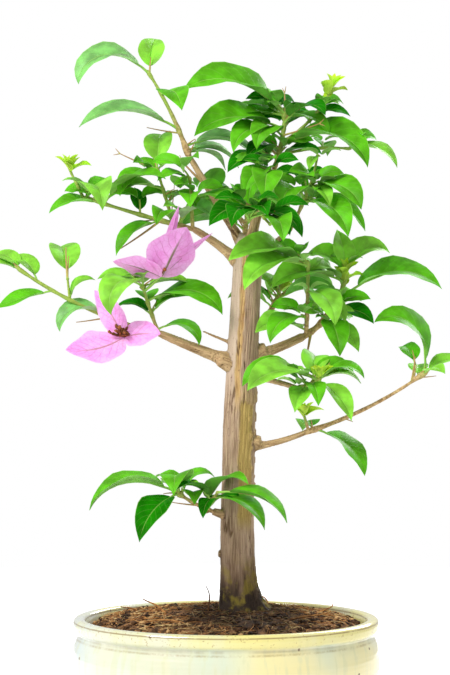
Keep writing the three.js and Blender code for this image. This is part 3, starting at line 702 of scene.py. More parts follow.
# %% Where each vertex lies on its limb
CHUNK = 4000  # vertices that are measured at once
LIMB_SHIFT = 300  # sets the grain of one limb apart from the next
TRUNK_FAVOUR = 0.97  # a vertex as near to the trunk as to a bough counts as the trunk's
points = places(wood)
closest, along = np.full(len(points), 1e9), np.zeros(len(points))
local, on_trunk = np.zeros((len(points), 3)), np.zeros(len(points), bool)
for number, (line, radii) in enumerate(limbs):
    steps = np.linalg.norm(np.diff(line, axis=0), axis=1)
    distance = np.concatenate([[0], np.cumsum(steps)])
    fine = np.linspace(0, distance[-1], max(int(distance[-1] * 1.5), 8))
    middles = np.stack([np.interp(fine, distance, line[:, k]) for k in range(3)], -1)
    radius = np.interp(fine, distance, radii)
    for first in range(0, len(points), CHUNK):
        part = slice(first, first + CHUNK)
        apart = np.linalg.norm(points[part, None] - middles[None], axis=2)
        gap = apart / radius[None] * (1 if number else TRUNK_FAVOUR)
        nearest = gap.argmin(1)
        gap = gap[np.arange(len(nearest)), nearest]
        better = gap < closest[part]
        closest[part] = np.where(better, gap, closest[part])
        along[part] = np.where(better, fine[nearest] + LIMB_SHIFT * number, along[part])
        offset = points[part] - middles[nearest]
        local[part] = np.where(better[:, None], offset, local[part])
        on_trunk[part] = np.where(better, number == 0, on_trunk[part])
facing = np.degrees(np.arctan2(local[:, 1], local[:, 0])) % 360
height = points[:, 2] - TRUNK_FOOT
normals = np.empty(len(points) * 3, np.float32)
wood.data.vertices.foreach_get("normal", normals)
normals = normals.reshape(-1, 3)
# A bough lies nearly level, so its grain also takes in how far a vertex is above or below its middle.
grain = np.column_stack([local[:, 0], local[:, 1] + np.where(on_trunk, 0, local[:, 2]), along])
print("vertices on the trunk", on_trunk.sum(), "of", len(points))

# %% Bark relief
def step_up(values, low, high):
    """0 below low, 1 above high and smooth between; falling where high is below low."""
    share = np.clip((values - low) / (high - low), 0, 1)
    return share * share * (3 - 2 * share)


def grained(across, along, shift):
    """Noise with its own fineness across and along the grain."""
    return lumps(grain, np.array([across, across, along]), shift)


def band(middle, half, soft):
    """1 within half a band's width of a bearing on the trunk, wavering with height."""
    waver = 7 * lumps(np.column_stack([0 * height, 0 * height, height]), 0.07, middle)
    waver += 4 * grained(0.1, 0.3, middle)
    off = abs((facing - middle + waver + 540) % 360 - 180)
    return step_up(off, half + soft, half - soft) * on_trunk


strands, fine_strands, swells = grained(1.1, 0.07, 3), grained(2.4, 0.16, 11), grained(0.16, 0.035, 31)
cracks = np.clip(1 - abs(grained(0.34, 0.022, 47)) / 0.07, 0, 1) * step_up(grained(0.1, 0.04, 71), -0.15, 0.2)
peel = band(256, 10, 3) * step_up(height, 96, 112)
torn = height + 3 * grained(0.5, 0.02, 83)
olive = band(297, 27, 5) * step_up(height, 38, 48) * step_up(torn, 106, 102)
lip = band(312, 42, 6) * step_up(torn, 103, 105) * step_up(torn, 113, 107)
scars = step_up(grained(0.45, 0.3, 91), 0.22, 0.45)
scars *= band(345, 32, 8) * step_up(height, 40, 52) * step_up(height, 112, 104)
pale = band(212, 42, 14) * step_up(height, 96, 128)
edge = 4 * peel * (1 - peel) + 3 * olive * (1 - olive)
coarse = np.where(on_trunk, 1.0, 0.75) * (1 - 0.55 * pale) * (1 - 0.6 * olive)
push = coarse * (0.3 * strands + 0.16 * fine_strands + 0.35 * swells - 0.75 * cracks)
push += 0.35 * edge - 0.55 * peel - 0.3 * olive + lip + 0.6 * scars
replace_places(wood, points + normals * push[:, None])
marks = {"cracks": cracks, "peel": peel, "olive": olive, "pale": pale, "strands": strands,
         "scars": np.maximum(0.8 * lip, scars), "bough": 1.0 - on_trunk}
for name, values in marks.items():
    wood.data.attributes.new(name, "FLOAT", "POINT").data.foreach_set("value", values.astype(np.float32))
kept = wood.data.attributes.new("grain", "FLOAT_VECTOR", "POINT")
kept.data.foreach_set("vector", grain.astype(np.float32).ravel())
smooth(wood, 75)
print("bark relief from", round(push.min(), 2), "to", round(push.max(), 2), "mm")

# %% [markdown]
# ## Bark finish
# The bark is grey beige where it is whole, yellower on the boughs, honey in the peeled strip and olive on the
# young wood beside it, with dark cracks. At the foot it is dark with damp and yellow green with moss. Each of
# these is a layer over the one before, laid where the mesh keeps a mark or by height.

# %% Bark finish
bark, shader, place = finish("peeling_bark", {"Specular IOR Level": 0.25})


def kept_on(place, name, output="Fac"):
    """A value that the mesh keeps at its vertices."""
    return place.node("Attribute", {"attribute_name": name}, output=output)


grain_place = kept_on(place, "grain", "Vector")
streaks = cloud(stretched(grain_place, 1.6, 1.6, 0.09), 1.0, 5)
patches = cloud(stretched(grain_place, 0.3, 0.3, 0.06), 1.0, 3)
pores = cloud(stretched(grain_place, 1, 1, 0.5), 1.3, 2)
height = coordinate(place, "Z")


def near_foot(mottle, top, bottom):
    """A mask that rises from a height above the soil down to a lower one, with a mottled edge."""
    return rising(height + mottle, (TRUNK_FOOT + top) * MM, (TRUNK_FOOT + bottom) * MM)


tan = blend(rising(streaks, 0.3, 0.68), colour(126, 100, 78), colour(178, 152, 124))
tan = blend(rising(patches, 0.45, 0.7) * 0.6, tan, colour(172, 148, 126))
for mark, share, mask, dark, light in (
    ("bough", 0.75, rising(streaks, 0.3, 0.68), colour(146, 114, 72), colour(206, 174, 126)),
    ("pale", 0.8, streaks, colour(164, 142, 122), colour(212, 192, 170)),
    ("olive", 0.88, rising(streaks, 0.3, 0.7), colour(148, 122, 62), colour(188, 160, 90)),
    ("peel", 0.9, rising(streaks, 0.36, 0.6), colour(146, 110, 64), colour(192, 158, 100)),
    ("scars", 0.7, streaks, colour(96, 70, 40), colour(206, 174, 120)),
):
    tan = blend(kept_on(place, mark) * share, tan, blend(mask, dark, light))
hollows = kept_on(place, "cracks") * 0.9 - kept_on(place, "strands") * 0.55
moss = near_foot(0.03 * (cloud(place, 90, 3) - 0.5), 30, 12) * rising(cloud(place, 130, 4), 0.46, 0.6)
tan = layered(
    tan,
    (rising(hollows, 0.12, 0.75), 0.8, colour(84, 58, 32)),
    (rising(pores, 0.67, 0.72), 0.6, colour(96, 74, 54)),
    (near_foot(0.03 * (patches - 0.5), 44, 8), 0.85, colour(78, 56, 38)),  # damp
    (near_foot(0.02 * (patches - 0.5), 21, 5), 0.92, colour(34, 24, 16)),  # wet
    (moss, 0.55, blend(streaks, colour(84, 74, 20), colour(164, 144, 46))),
)
feed(shader, Base_Color=tan, Roughness=0.62 + 0.3 * streaks)
feed(shader, Normal=relief(streaks + 0.5 * cloud(place, 1600, 2), 0.5))
settle(wood, "trunk_and_boughs", [bark], limb_nodes)

# %% [markdown]
# ## Sprays
# Each spray is one stem from the tip of a bough, or once from the trunk, with side shoots on it. A shoot has
# leaves from its table row by row, and fill more by a seeded rule, so the twigs and leaves land where the
# solids have them. The table also deals each spray its own shares of the leaf greens, and how woody its stem
# is at its two ends.

# %% Spray tables
def new_spray(foot, seed, light, face, greens, woody, shoots, bushy=0.0):
    """The bough that bears a spray or its height on the trunk, its seed, the bearing of the light and how far
    its blades turn to it, its shares of the greens, how woody its stem is at foot and tip, its shoots, and the
    share of leaf axils with one more twiglet."""
    return dict(foot=foot, seed=seed, light=light, face=face, greens=greens, woody=woody, shoots=shoots,
                bushy=bushy)


def new_shoot(way, ends, leaves, at=0.0, fill=0, bud=False, greens=None, blooms=()):
    """A shoot's bearing, rise, turn and length, its two diameters, its leaf rows, where it leaves the stem, how
    many leaves fill it up, whether it ends in a bud, greens of its own and its blooms."""
    return dict(way=way, ends=ends, leaves=leaves, at=at, fill=fill, bud=bud, greens=greens, blooms=blooms)


# A leaf row is share along the shoot, bearing, rise, length, droop and, where it isn't the usual one, the share
# of the length that is stalk. A bract row is bearing, rise, turn, length and width over length.
SPRAYS = {
    "leader_spray": new_spray("leader_bough", 11, 270, 34, (1, 2, 0, 9), (0.75, 0.0), [
        new_shoot((176, 71, -14, 48), (2.7, 1.3), [
            (1.0, 184, 44, 47, 140), (0.96, 84, 66, 31, 60), (0.7, 292, 10, 34, 86), (0.3, 186, 30, 54, 80),
            (0.1, 14, 24, 42, 90), (0.06, 30, 16, 34, 74), (0.03, 44, 16, 30, 76)]),
    ]),
    "upper_left_spray": new_spray(
        "upper_left_bough", 23, 268, 28, (6, 4, 1, 4), (0.55, 0.05), bushy=0.35, shoots=[
        new_shoot((184, 14, 4, 59), (2.7, 1.3), [
            (0.82, 190, 12, 28, 64), (0.97, 290, 34, 37, 128), (0.96, 40, 50, 22, 80), (0.8, 338, 50, 39, 74),
            (0.48, 110, 72, 18, 50), (0.3, 188, -14, 30, 66), (0.2, 250, 44, 26, 130), (0.14, 320, 56, 28, 130)]),
        new_shoot((186, 62, 4, 17), (1.7, 1.3), at=0.98, bud=True, leaves=[]),
        new_shoot((170, 74, -2, 30), (1.9, 1.2), at=0.19, leaves=[
            (1.0, 84, 74, 33, 90), (0.84, 206, 14, 28, 100), (0.94, 56, 36, 26, 90), (0.9, 150, 50, 15, 60),
            (0.5, 340, 10, 23, 96), (0.35, 60, 40, 26, 90), (0.6, 192, 20, 30, 80)]),
        new_shoot((262, 70, 0, 27), (2.1, 1.3), at=0.02, leaves=[
            (0.95, 200, 30, 19, 90), (0.6, 338, 14, 30, 84), (0.5, 270, 30, 25, 110)]),
    ]),
    "left_spray": new_spray("left_bough", 37, 268, 30, (6, 3, 1, 4), (0.5, 0.1), [
        new_shoot((186, 14, 22, 80), (2.5, 1.2), [
            (1.0, 176, 30, 22, 70), (0.98, 146, 50, 22, 80), (0.83, 146, 66, 25, 96), (0.6, 6, 82, 19, 108),
            (0.72, 186, -12, 29, 10), (0.34, 192, 34, 32, 126)],
            blooms=[dict(at=0.16, bearing=240, rise=-26, length=13, axis=(250, 35), bracts=[
                (204, -32, 42, 31, 0.81), (160, 66, -18, 28, 0.44), (342, 14, -18, 20, 0.8)])]),
        new_shoot((204, 68, 4, 26), (2, 1.3), at=0.01, leaves=[
            (0.97, 232, 26, 38, 150), (1.0, 188, 34, 24, 64), (0.99, 275, 40, 20, 60), (0.98, 12, 22, 26, 40),
            (0.66, 350, 28, 44, 104), (0.42, 10, 50, 22, 60), (0.36, 156, 44, 24, 92), (0.08, 350, 28, 28, 116),
            (0.6, 96, 40, 26, 90)],
            blooms=[dict(at=0.86, bearing=306, rise=22, length=17, axis=(100, 60), bracts=[
                (330, 61, -4, 28, 0.98), (190, 26, -18, 25, 0.66), (4, 78, -4, 36, 0.17), (8, 44, -8, 33, 0.2)])]),
        new_shoot((186, 84, 0, 11), (1.4, 1.1), at=0.6, greens=(1, 0, 0, 0), leaves=[
            (1.0, 104, 62, 36, 90)]),
    ]),
    "right_spray": new_spray("right_bough", 41, 272, 40, (8, 4, 1, 3), (1.0, 0.1), bushy=0.4, shoots=[
        new_shoot((8, 28, 58, 43), (3.4, 1.6), bud=True, fill=2, leaves=[
            (0.5, 2, 48, 64, 104, 0.27), (0.84, 204, 24, 44, 66), (0.97, 110, 80, 26, 40), (0.94, 30, 62, 34, 100),
            (0.92, 140, 56, 30, 84), (0.42, 342, 20, 26, 80), (0.36, 286, -12, 31, 72), (0.28, 330, -10, 27, 70),
            (0.4, 60, 30, 27, 90), (0.1, 214, 28, 36, 76)]),
        new_shoot((272, 54, 34, 40), (2.4, 1.3), at=0.05, leaves=[
            (1.0, 204, 26, 46, 62), (0.92, 214, 16, 45, 84), (0.25, 222, 10, 32, 90), (0.6, 304, 0, 32, 90),
            (0.8, 80, 40, 28, 90), (0.4, 330, 20, 26, 100)]),
    ]),
    "low_right_spray": new_spray("low_right_bough", 53, 272, 40, (4, 7, 0, 0), (1.0, 0.45), [
        new_shoot((358, 17, 20, 70), (2.5, 1.3), [
            (0.08, 350, -16, 36, 72), (1.0, 180, 100, 47, 138), (1.0, 12, 40, 25, 76), (0.94, 300, 30, 20, 70),
            (0.9, 84, 40, 22, 70), (0.06, 100, 30, 26, 90)]),
        new_shoot((150, 72, 0, 9), (1.7, 1.3), at=0.03, bud=True, leaves=[]),
        new_shoot((20, 82, 0, 8), (1.4, 1.1), at=0.86, leaves=[(1.0, 110, 60, 22, 90)]),
    ]),
    "mid_right_spray": new_spray("mid_right_bough", 61, 280, 34, (6, 4, 2, 2), (1.0, 0.4), [
        new_shoot((350, 22, 10, 12.4), (2.4, 1.3), bud=True, fill=1, leaves=[
            (0.35, 184, 42, 38, 104), (0.8, 212, 22, 44, 70), (0.3, 252, -10, 25, 60), (0.6, 30, 46, 28, 100),
            (0.9, 350, 44, 26, 104), (0.8, 330, -28, 28, 46), (0.4, 282, 10, 24, 90), (0.92, 20, 24, 24, 84)]),
    ]),
    "crown_spray": new_spray("crown_bough", 75, 270, 40, (3, 5, 5, 2), (0.6, 0.0), bushy=0.5, shoots=[
        new_shoot((14, 68, 20, 33), (2.3, 1.4), fill=2, leaves=[
            (1.0, 186, 45, 58, 80), (0.9, 150, 40, 34, 86), (0.92, 158, 16, 44, 56), (0.9, 340, 10, 28, 84),
            (0.6, 236, 30, 32, 124), (0.55, 216, 30, 38, 112),
            (0.46, 344, 26, 54, 100), (0.3, 350, 30, 24, 80), (0.7, 60, 46, 34, 90), (0.14, 230, -10, 33, 84),
            (0.26, 216, 8, 34, 54), (0.72, 194, 22, 50, 70), (0.4, 222, 16, 26, 80)]),
        new_shoot((354, 30, 36, 40), (1.9, 1.2), at=0.5, bud=True, leaves=[
            (0.5, 12, 36, 22, 80)]),
        new_shoot((262, -6, -6, 15), (1.7, 1.2), at=0.06, leaves=[
            (1.0, 262, 4, 33, 92), (0.9, 236, 6, 28, 84)]),
        new_shoot((8, 18, -24, 38), (1.8, 1.2), at=0.3, leaves=[
            (1.0, 358, 14, 30, 86), (0.6, 80, 30, 26, 90)]),
    ]),
    "upper_right_spray": new_spray(
        "upper_right_bough", 83, 276, 40, (3, 5, 3, 2), (0.8, 0.1), bushy=0.45, shoots=[
        new_shoot((358, 62, 8, 26), (2.2, 1.3), [
            (0.9, 326, 12, 36, 92), (0.6, 314, 0, 39, 78), (0.66, 16, 0, 38, 72), (0.98, 20, 46, 16, 50),
            (0.72, 150, 74, 18, 40), (0.66, 244, 30, 36, 124), (0.84, 300, 6, 24, 86), (0.5, 80, 40, 28, 90)]),
        new_shoot((20, 70, 10, 16), (1.4, 1.1), at=0.95, leaves=[(0.95, 240, -20, 13, 50)]),
    ]),
    "front_spray": new_spray("front_bough", 97, 270, 40, (0, 3, 9, 0), (0.8, 0.1), bushy=0.5, shoots=[
        new_shoot((256, -40, 16, 20), (2.6, 1.4), [
            (0.95, 334, 24, 32, 104), (0.3, 214, 4, 30, 66), (0.6, 350, 6, 30, 86), (0.9, 290, 36, 28, 100),
            (0.95, 250, 30, 30, 110)]),
        new_shoot((296, -38, 12, 20), (1.8, 1.2), at=0.2, leaves=[
            (1.0, 284, 20, 30, 104), (0.6, 304, 10, 26, 90)]),
    ]),
    "back_high_spray": new_spray("back_high_bough", 101, 90, 40, (3, 5, 3, 1), (0.8, 0.1), [
        new_shoot((84, 44, 6, 23), (2.8, 1.4), bud=True, fill=6, leaves=[
            (1.0, 96, 40, 27, 116), (0.9, 40, 40, 34, 104)]),
        new_shoot((142, 46, 0, 26), (1.9, 1.2), at=0.3, fill=4, leaves=[]),
    ]),
    "back_low_spray": new_spray("back_low_bough", 113, 80, 40, (3, 5, 3, 1), (0.9, 0.2), [
        new_shoot((70, 30, 10, 20.4), (2.8, 1.4), bud=True, fill=6, leaves=[
            (1.0, 84, 36, 27, 116)]),
        new_shoot((28, 38, 0, 25), (1.9, 1.2), at=0.44, fill=4, leaves=[]),
    ]),
    "low_left_spray": new_spray(46, 127, 262, 14, (1, 5, 6, 1), (1.0, 0.35), [
        new_shoot((208, 10, 26, 38), (2.5, 1.3), [
            (0.98, 188, 26, 50, 96), (0.94, 230, -12, 38, 66), (0.93, 266, 54, 36, 140), (0.9, 130, 54, 24, 80),
            (0.88, 14, 80, 24, 130), (0.72, 276, 50, 22, 126), (0.5, 322, 70, 36, 116), (0.46, 312, 46, 27, 96)]),
        new_shoot((292, 24, 10, 20), (1.8, 1.2), at=0.5, leaves=[
            (0.7, 334, 4, 34, 76), (1.0, 350, 6, 40, 80), (0.5, 206, 56, 26, 110),
            (0.6, 250, 4, 18, 90)]),
    ]),
}
print("sprays", len(SPRAYS), "leaf rows", sum(len(s["leaves"]) for p in SPRAYS.values() for s in p["shoots"]))

# %% [markdown]
# ## Growing the sprays
# Growing fills plain lists: shoots, leaves, tips and blooms, each with its arc. The draws from the seeded
# stream come in the same order as in the solids. Finer growth has streams of its own: a thorn in some leaf
# axils, in others a short twiglet with two small leaves, and in bushy sprays more of those with larger leaves
# that turn to the light. All of it stays inside the spray's reach.

# %% Grow the sprays
STALK_SHARE, LEAF_EASE, FURTHEST = 0.15, 1.5, 0.95
THORN_BELOW, TWIGLET_BELOW = 0.35, 0.55  # what grows in a leaf's axil, by one draw
BUD_LEAVES, BUSHY_LEAF, BUSHY_FACE = 4, 15, 60
shoots, leaves, tips, blooms, thorns, twiglets, small_leaves = [], [], [], [], [], [], []


def leaf_pose(row, spray, chance):
    """A leaf's settings from its row, with a little chance in its pose."""
    share, bearing, rise, length, droop, stalk = (*row, STALK_SHARE)[:6]
    sideways = math.sin(math.radians(spray["light"] - bearing))
    pose = dict(share=share, bearing=bearing, rise=rise, length=length, stalk=stalk)
    return dict(pose, droop=droop + 16 * (chance() - 0.5), roll=-sideways * spray["face"] + 24 * (chance() - 0.5),
                fold=22 + 14 * (chance() - 0.5))


def rib(pose, foot):
    """The arc of a leaf's rib and stalk."""
    return arc(foot, pose["bearing"], pose["rise"], -pose["droop"], pose["length"], LEAF_EASE)


def add_twiglet(foot, pose, finer, size=9, green=0, light=270, face=0):
    """A short side twig in a leaf's axil, with two small leaves that may turn their faces to the light."""
    bearing = pose["bearing"] + 80 * (finer() - 0.5)
    twiglets.append(arc(foot, bearing, pose["rise"] + 20, -20, 4 + 4 * finer(), steps=6))
    for side in (-75, 60):
        small = dict(bearing=bearing + side, rise=40, length=size + 5 * finer(), droop=70, green=green)
        small["roll"] = 40 * (finer() - 0.5) - face * math.sin(math.radians(light - bearing - side))
        small_leaves.append(dict(small, rib=rib(small, twiglets[-1]["point"][-1])))


def axil_growth(foot, pose, spray, finer, bushy):
    """Adds what grows in a leaf's axil: a thorn, twiglets or nothing."""
    growth = finer()
    if growth < THORN_BELOW:
        lift = dict(bearing=pose["bearing"] + 50 * (finer() - 0.5), rise=pose["rise"] + 20, turn=-14)
        thorns.append(dict(start=foot, length=5 + 7 * finer(), thick=0.5, **lift))
    elif growth < TWIGLET_BELOW:
        add_twiglet(foot, pose, finer)
    if bushy() < spray["bushy"]:
        fresh, _, deep, _ = spray["greens"]
        green = int(2 * bushy()) + (0 if fresh > deep else 1)
        add_twiglet(foot, pose, bushy, BUSHY_LEAF, green, spray["light"], BUSHY_FACE)


def grow(spray):
    """Adds one spray's shoots, leaves, tips, blooms, thorns and twiglets to the lists."""
    chance, finer, bushy = (seeded(spray["seed"] + shift) for shift in (0, 1000, 2000))
    foot = spray["foot"]
    root = bough_paths[foot]["point"][-1] if foot in bough_paths else trunk_axis(foot)
    stem, old, young = None, *spray["woody"]
    for shoot in spray["shoots"]:
        bearing, bud, fill = shoot["way"][0], shoot["bud"], shoot["fill"]
        path = arc(root if stem is None else on(stem, shoot["at"]), *shoot["way"])
        stem = stem or path
        rows, nodes = list(shoot["leaves"]), []
        for i in range(fill):
            turned = bearing + GOLDEN_ANGLE * i + 360 * chance()
            rows.append(((i + 0.6) / fill, turned, 28 + 36 * chance(), 24 + 14 * chance(), 95))
        for row in rows:
            pose = leaf_pose(row, spray, chance)
            nodes.append(min(pose["share"], FURTHEST))
            foot, greens = on(path, nodes[-1]), shoot["greens"] or spray["greens"]
            leaves.append(dict(pose, rib=rib(pose, foot), greens=greens, draw=finer()))
            axil_growth(foot, pose, spray, finer, bushy)
        for i in range(BUD_LEAVES if bud else 0):
            pose = leaf_pose((FURTHEST - 0.06 * i, bearing + i * GOLDEN_ANGLE, 56, 9, 40), spray, chance)
            tips.append(dict(pose, rib=rib(pose, on(path, pose["share"]))))
        blooms.extend((bloom, on(path, bloom["at"])) for bloom in shoot["blooms"])
        woody = old + (young - old) * shoot["at"], 0 if bud else young
        shoots.append(dict(path=path, ends=shoot["ends"], woody=woody, nodes=nodes, bud=bud))


for spray in SPRAYS.values():
    grow(spray)
print("shoots", len(shoots), "leaves", len(leaves), "blooms", len(blooms))
print("thorns", len(thorns), "twiglets", len(twiglets))

# %% [markdown]
# ## A blade
# A leaf or bract is a thin closed lens in its own outline: a row of points across the blade at many places
# along its rib, an upper face and a lower face that share the margin. The two halves fold up from the rib
# and bulge a little, the margin ripples, and the rib stands out below. A leaf turns on to the light from its
# foot to its tip. Every blade of a kind has the same faces.

# %% A blade
def blade_grid(half, rows):
    """The places across and along a blade, its faces, and 0 for each on the upper side or 1 below."""
    across = np.array([*(-t for t in reversed(half)), 0, *half])
    along = 0.5 - 0.5 * np.cos(math.pi * np.arange(1, rows + 1) / (rows + 1))
    wide, per_row = len(across), 2 * len(across) - 2  # points 0 and 1 are foot and tip
    upper = [[2 + r * per_row + c for c in range(wide)] for r in range(rows)]
    lower = [[row[0], *range(row[-1] + 1, row[-1] + wide - 1), row[-1]] for row in upper]
    faces, sides = [], []
    for c in range(wide - 1):
        faces += [[0, upper[0][c], upper[0][c + 1]], [upper[-1][c], 1, upper[-1][c + 1]]]
        faces += [[0, lower[0][c + 1], lower[0][c]], [lower[-1][c + 1], 1, lower[-1][c]]]
        sides += [0, 0, 1, 1]
        for r in range(rows - 1):  # both sides are split along the same diagonals, so that they can't cross
            near, far = upper[r][c : c + 2], upper[r + 1][c : c + 2]
            faces += [[near[0], far[0], far[1]], [near[0], far[1], near[1]]]
            near, far = lower[r][c : c + 2], lower[r + 1][c : c + 2]
            faces += [[near[0], far[1], far[0]], [near[0], near[1], far[1]]]
            sides += [0, 0, 1, 1]
    return across, along[:, None], faces, np.array(sides)


def outline(share, round_power, point_power):
    """The half-width of a blade at a share of its length, 1 at its widest."""
    widest = round_power / (round_power + point_power)
    peak = widest**round_power * (1 - widest) ** point_power
    return share**round_power * (1 - share) ** point_power / peak


def add_blade(heap, grid, path, first, half, powers, roll, fold, thick, ripple, waves, index=0, twist=(0.2, 1.4)):
    """Adds a blade on a path from share first on, with its places along and across it as its map. The start of
    its ripple is drawn from the stream finer."""
    t, u, faces, sides = grid
    place = first + (1 - first) * u[:, 0]
    point, side, upper = (on(path, place, key)[:, None] for key in ("point", "side", "upper"))
    turn, lean = np.radians(roll * (twist[0] + (twist[1] - twist[0]) * u))[..., None], math.radians(fold)
    over = side * np.cos(turn) + upper * np.sin(turn)
    face = upper * np.cos(turn) - side * np.sin(turn)
    width = half * outline(u, *powers)
    lift = width * (1.15 * math.sin(lean) * abs(t) - 0.13 * t**2)
    lift = lift + ripple * width * t**2 * np.sin(2 * math.pi * waves * (u + finer()) + np.sign(t))
    rib_depth = np.exp(-((t * width / 0.7) ** 2)) * (1 - u**2)
    sheet = point + (width * t * math.cos(lean))[..., None] * over
    body = thick * (1 - t**2)
    above = sheet + (lift + body - 0.12 * rib_depth)[..., None] * face
    below = sheet + (lift - body - 0.35 * rib_depth)[..., None] * face
    points = np.concatenate([above, below[:, 1:-1]], 1).reshape(-1, 3)
    uv = np.stack(np.broadcast_arrays(u, (t + 1) / 2), -1)
    uv = np.concatenate([uv, uv[:, 1:-1]], 1).reshape(-1, 2)
    ends = on(path, np.array([first, 1.0]))
    add_to(heap, np.vstack([ends, points]), faces, index + sides, np.vstack([[[0, 0.5], [1, 0.5]], uv]))


LEAF_GRID = blade_grid((0.07, 0.3, 0.56, 0.8, 1.0), 14)
TIP_GRID = blade_grid((0.12, 0.6, 1.0), 7)
print("a leaf has", len(LEAF_GRID[2]), "faces, a young one", len(TIP_GRID[2]))

# %% [markdown]
# ## Leaves
# Every leaf of the lists becomes a blade and a stalk that runs on under it as the rib. Each leaf takes one
# of four greens by its spray's shares: fresh, full, deep and grey. The deep green is partly the darker green of
# older leaves and partly painted shade on leaves inside the crown. Young leaves at the growing tips are
# small, upright and yellow green, and a ring of finer ones is added round each tip.

# %% Leaves and their stalks
LEAF_WIDTH = 0.58  # the share of a blade's length
leaf_heap, stalk_heap, tip_heap = new_heap(), new_heap(), new_heap()
finer = seeded(5)
for leaf in leaves:
    age = 0.55 * leaf["draw"] + 0.45 * (1 - leaf["share"])  # leaves near a shoot's tip are the fresher ones
    green = int(np.searchsorted(np.cumsum(leaf["greens"]), age * sum(leaf["greens"])))
    length, stalk = leaf["length"], leaf["stalk"]
    half, powers = LEAF_WIDTH * length * (1 - stalk) / 2, (0.68, 1.1 + 0.2 * finer())
    add_blade(leaf_heap, LEAF_GRID, leaf["rib"], stalk, half, powers, leaf["roll"], leaf["fold"], 0.2,
              0.08 * finer(), 2.2, 2 * green)
    share = stalk * np.array([0, 0.4, 0.8, 1.2, 2])
    line = on(leaf["rib"], share) - 0.25 * on(leaf["rib"], share, "upper") * (share > stalk)[:, None]
    add_to(stalk_heap, *tube(line, np.array([0.75, 0.6, 0.55, 0.5, 0.2]) * (0.7 + length / 100), 6))
for leaf in small_leaves:
    length, grid = leaf["length"], LEAF_GRID if leaf["length"] > BUSHY_LEAF - 1 else TIP_GRID
    add_blade(leaf_heap, grid, leaf["rib"], 0.12, 0.25 * length, (0.68, 1.2), leaf["roll"], 24, 0.15, 0.08, 2,
              2 * leaf["green"])
for leaf in tips:
    add_blade(tip_heap, TIP_GRID, leaf["rib"], 0.1, 2.5, (0.7, 1.2), leaf["roll"], 24, 0.15, 0.1, 1.5)
print("leaves", len(leaf_heap["points"]), "tip leaves", len(tip_heap["points"]))

# %% Finer leaves round the growing tips
RING_LEAVES = 6
for shoot in (s for s in shoots if s["bud"]):
    for i in range(RING_LEAVES):
        foot = on(shoot["path"], 1.0 - 0.03 * i)
        pose = dict(bearing=GOLDEN_ANGLE * i + 60, rise=84 - 9 * i, length=6 + 1.3 * i, droop=20 + 8 * i)
        add_blade(tip_heap, TIP_GRID, rib(pose, foot), 0.08, 0.29 * pose["length"], (0.75, 1.1),
                  30 * (finer() - 0.5), 26, 0.12, 0.1, 1.5)
print("tip leaves", len(tip_heap["points"]))

# %% [markdown]
# ## Leaf finishes
# A leaf is glossy above and dull and paler below. Its rib is a lighter line and its side veins faint ones,
# and its margin has a lighter line that is painted light, the glow of light through the thin edge: all three
# are drawn on the blade's own map, whose first axis runs from foot to tip. A little light passes through a
# leaf, so a translucent shader is mixed in with the same green.

# %% Leaf finishes
def see_through(material, shader, tint, share):
    """Mixes a translucent shader of the same tint into a material."""
    glow = tint.node("BsdfTranslucent", {}, {"Color": tint})
    both = tint.node("MixShader", {}, {0: share, 1: Signal(tint.tree, shader.outputs[0]), 2: glow})
    feed(material.node_tree.nodes["Material Output"], Surface=both)


def blade_map(place):
    """How far along a blade a place is, and how far across it from the rib, both from 0 to 1."""
    uv = place.node("UVMap", {"uv_map": "blade"})
    return coordinate(uv, "X"), abs(coordinate(uv, "Y") - 0.5) * 2.0


def leaf_finish(name, green, line, rough, gloss, through):
    """One side of a leaf: its green, the colour of its rib and veins, and how much light passes through."""
    material, shader, place = finish(name, {"Specular IOR Level": gloss})
    u, across = blade_map(place)
    rib_line = rising(across, 0.07, 0.02) * rising(u, 1.0, 0.75)
    beat = u * 8.5 - across * 2.1
    vein = rising(abs(beat.maths("FRACT", beat) - 0.5), 0.09, 0.02) * rising(across, 1.0, 0.7)
    # painted light: a lighter line along the margin stands for light glowing through the thin edge
    painted_edge_glow = rising(across, 0.93, 0.99)
    mottle = cloud(place, 120, 3)
    dark, light = (tuple(c * k for c in green[:3]) + (1,) for k in (0.74, 1.26))
    leafy = blend(rising(mottle, 0.3, 0.7), dark, light)
    leafy = layered(leafy, (vein, 0.1, line), (rib_line, 0.4, line), (painted_edge_glow, 0.5, line))
    feed(shader, Base_Color=leafy, Roughness=rough + 0.14 * mottle)
    feed(shader, Normal=relief(mottle * 0.5 - vein * 0.25 - rib_line, 0.4, 0.6))
    see_through(material, shader, leafy, through)
    return material


pale_line, under_line = colour(176, 222, 110), colour(196, 220, 150)
greens = []
for name, upper, lower, gloss in (
    ("fresh", colour(142, 213, 64), colour(168, 216, 116), 0.24),
    ("full", colour(100, 188, 28), colour(138, 202, 84), 0.12),
    # deep: partly the dark green of older leaves, partly painted shade on leaves inside the crown
    ("deep", colour(30, 132, 4), colour(100, 176, 60), 0.03),
    ("grey", colour(128, 192, 102), colour(176, 212, 152), 0.3),
):
    greens.append(leaf_finish(name + "_leaf_upper", upper, pale_line, 0.34, gloss, 0.32))
    greens.append(leaf_finish(name + "_leaf_under", lower, under_line, 0.5, 0.15, 0.32))
young_upper = leaf_finish("young_leaf_upper", colour(204, 234, 52), colour(236, 244, 130), 0.36, 0.2, 0.45)
young_under = leaf_finish("young_leaf_under", colour(206, 234, 92), colour(236, 244, 150), 0.5, 0.1, 0.45)
settle_heap(leaf_heap, "leaves", greens, spray_nodes, angle=62)
settle_heap(tip_heap, "growing_tips", [young_upper, young_under], angle=62)

# %% [markdown]
# ## Blooms
# A bloom of this plant is three papery bracts round three thin flower tubes. A bract is a broad blade with
# a drawn-out tip, thinner and more rippled than a leaf, with a network of darker veins and a green rib at
# its foot. The tubes have withered into a brown crumpled heart.

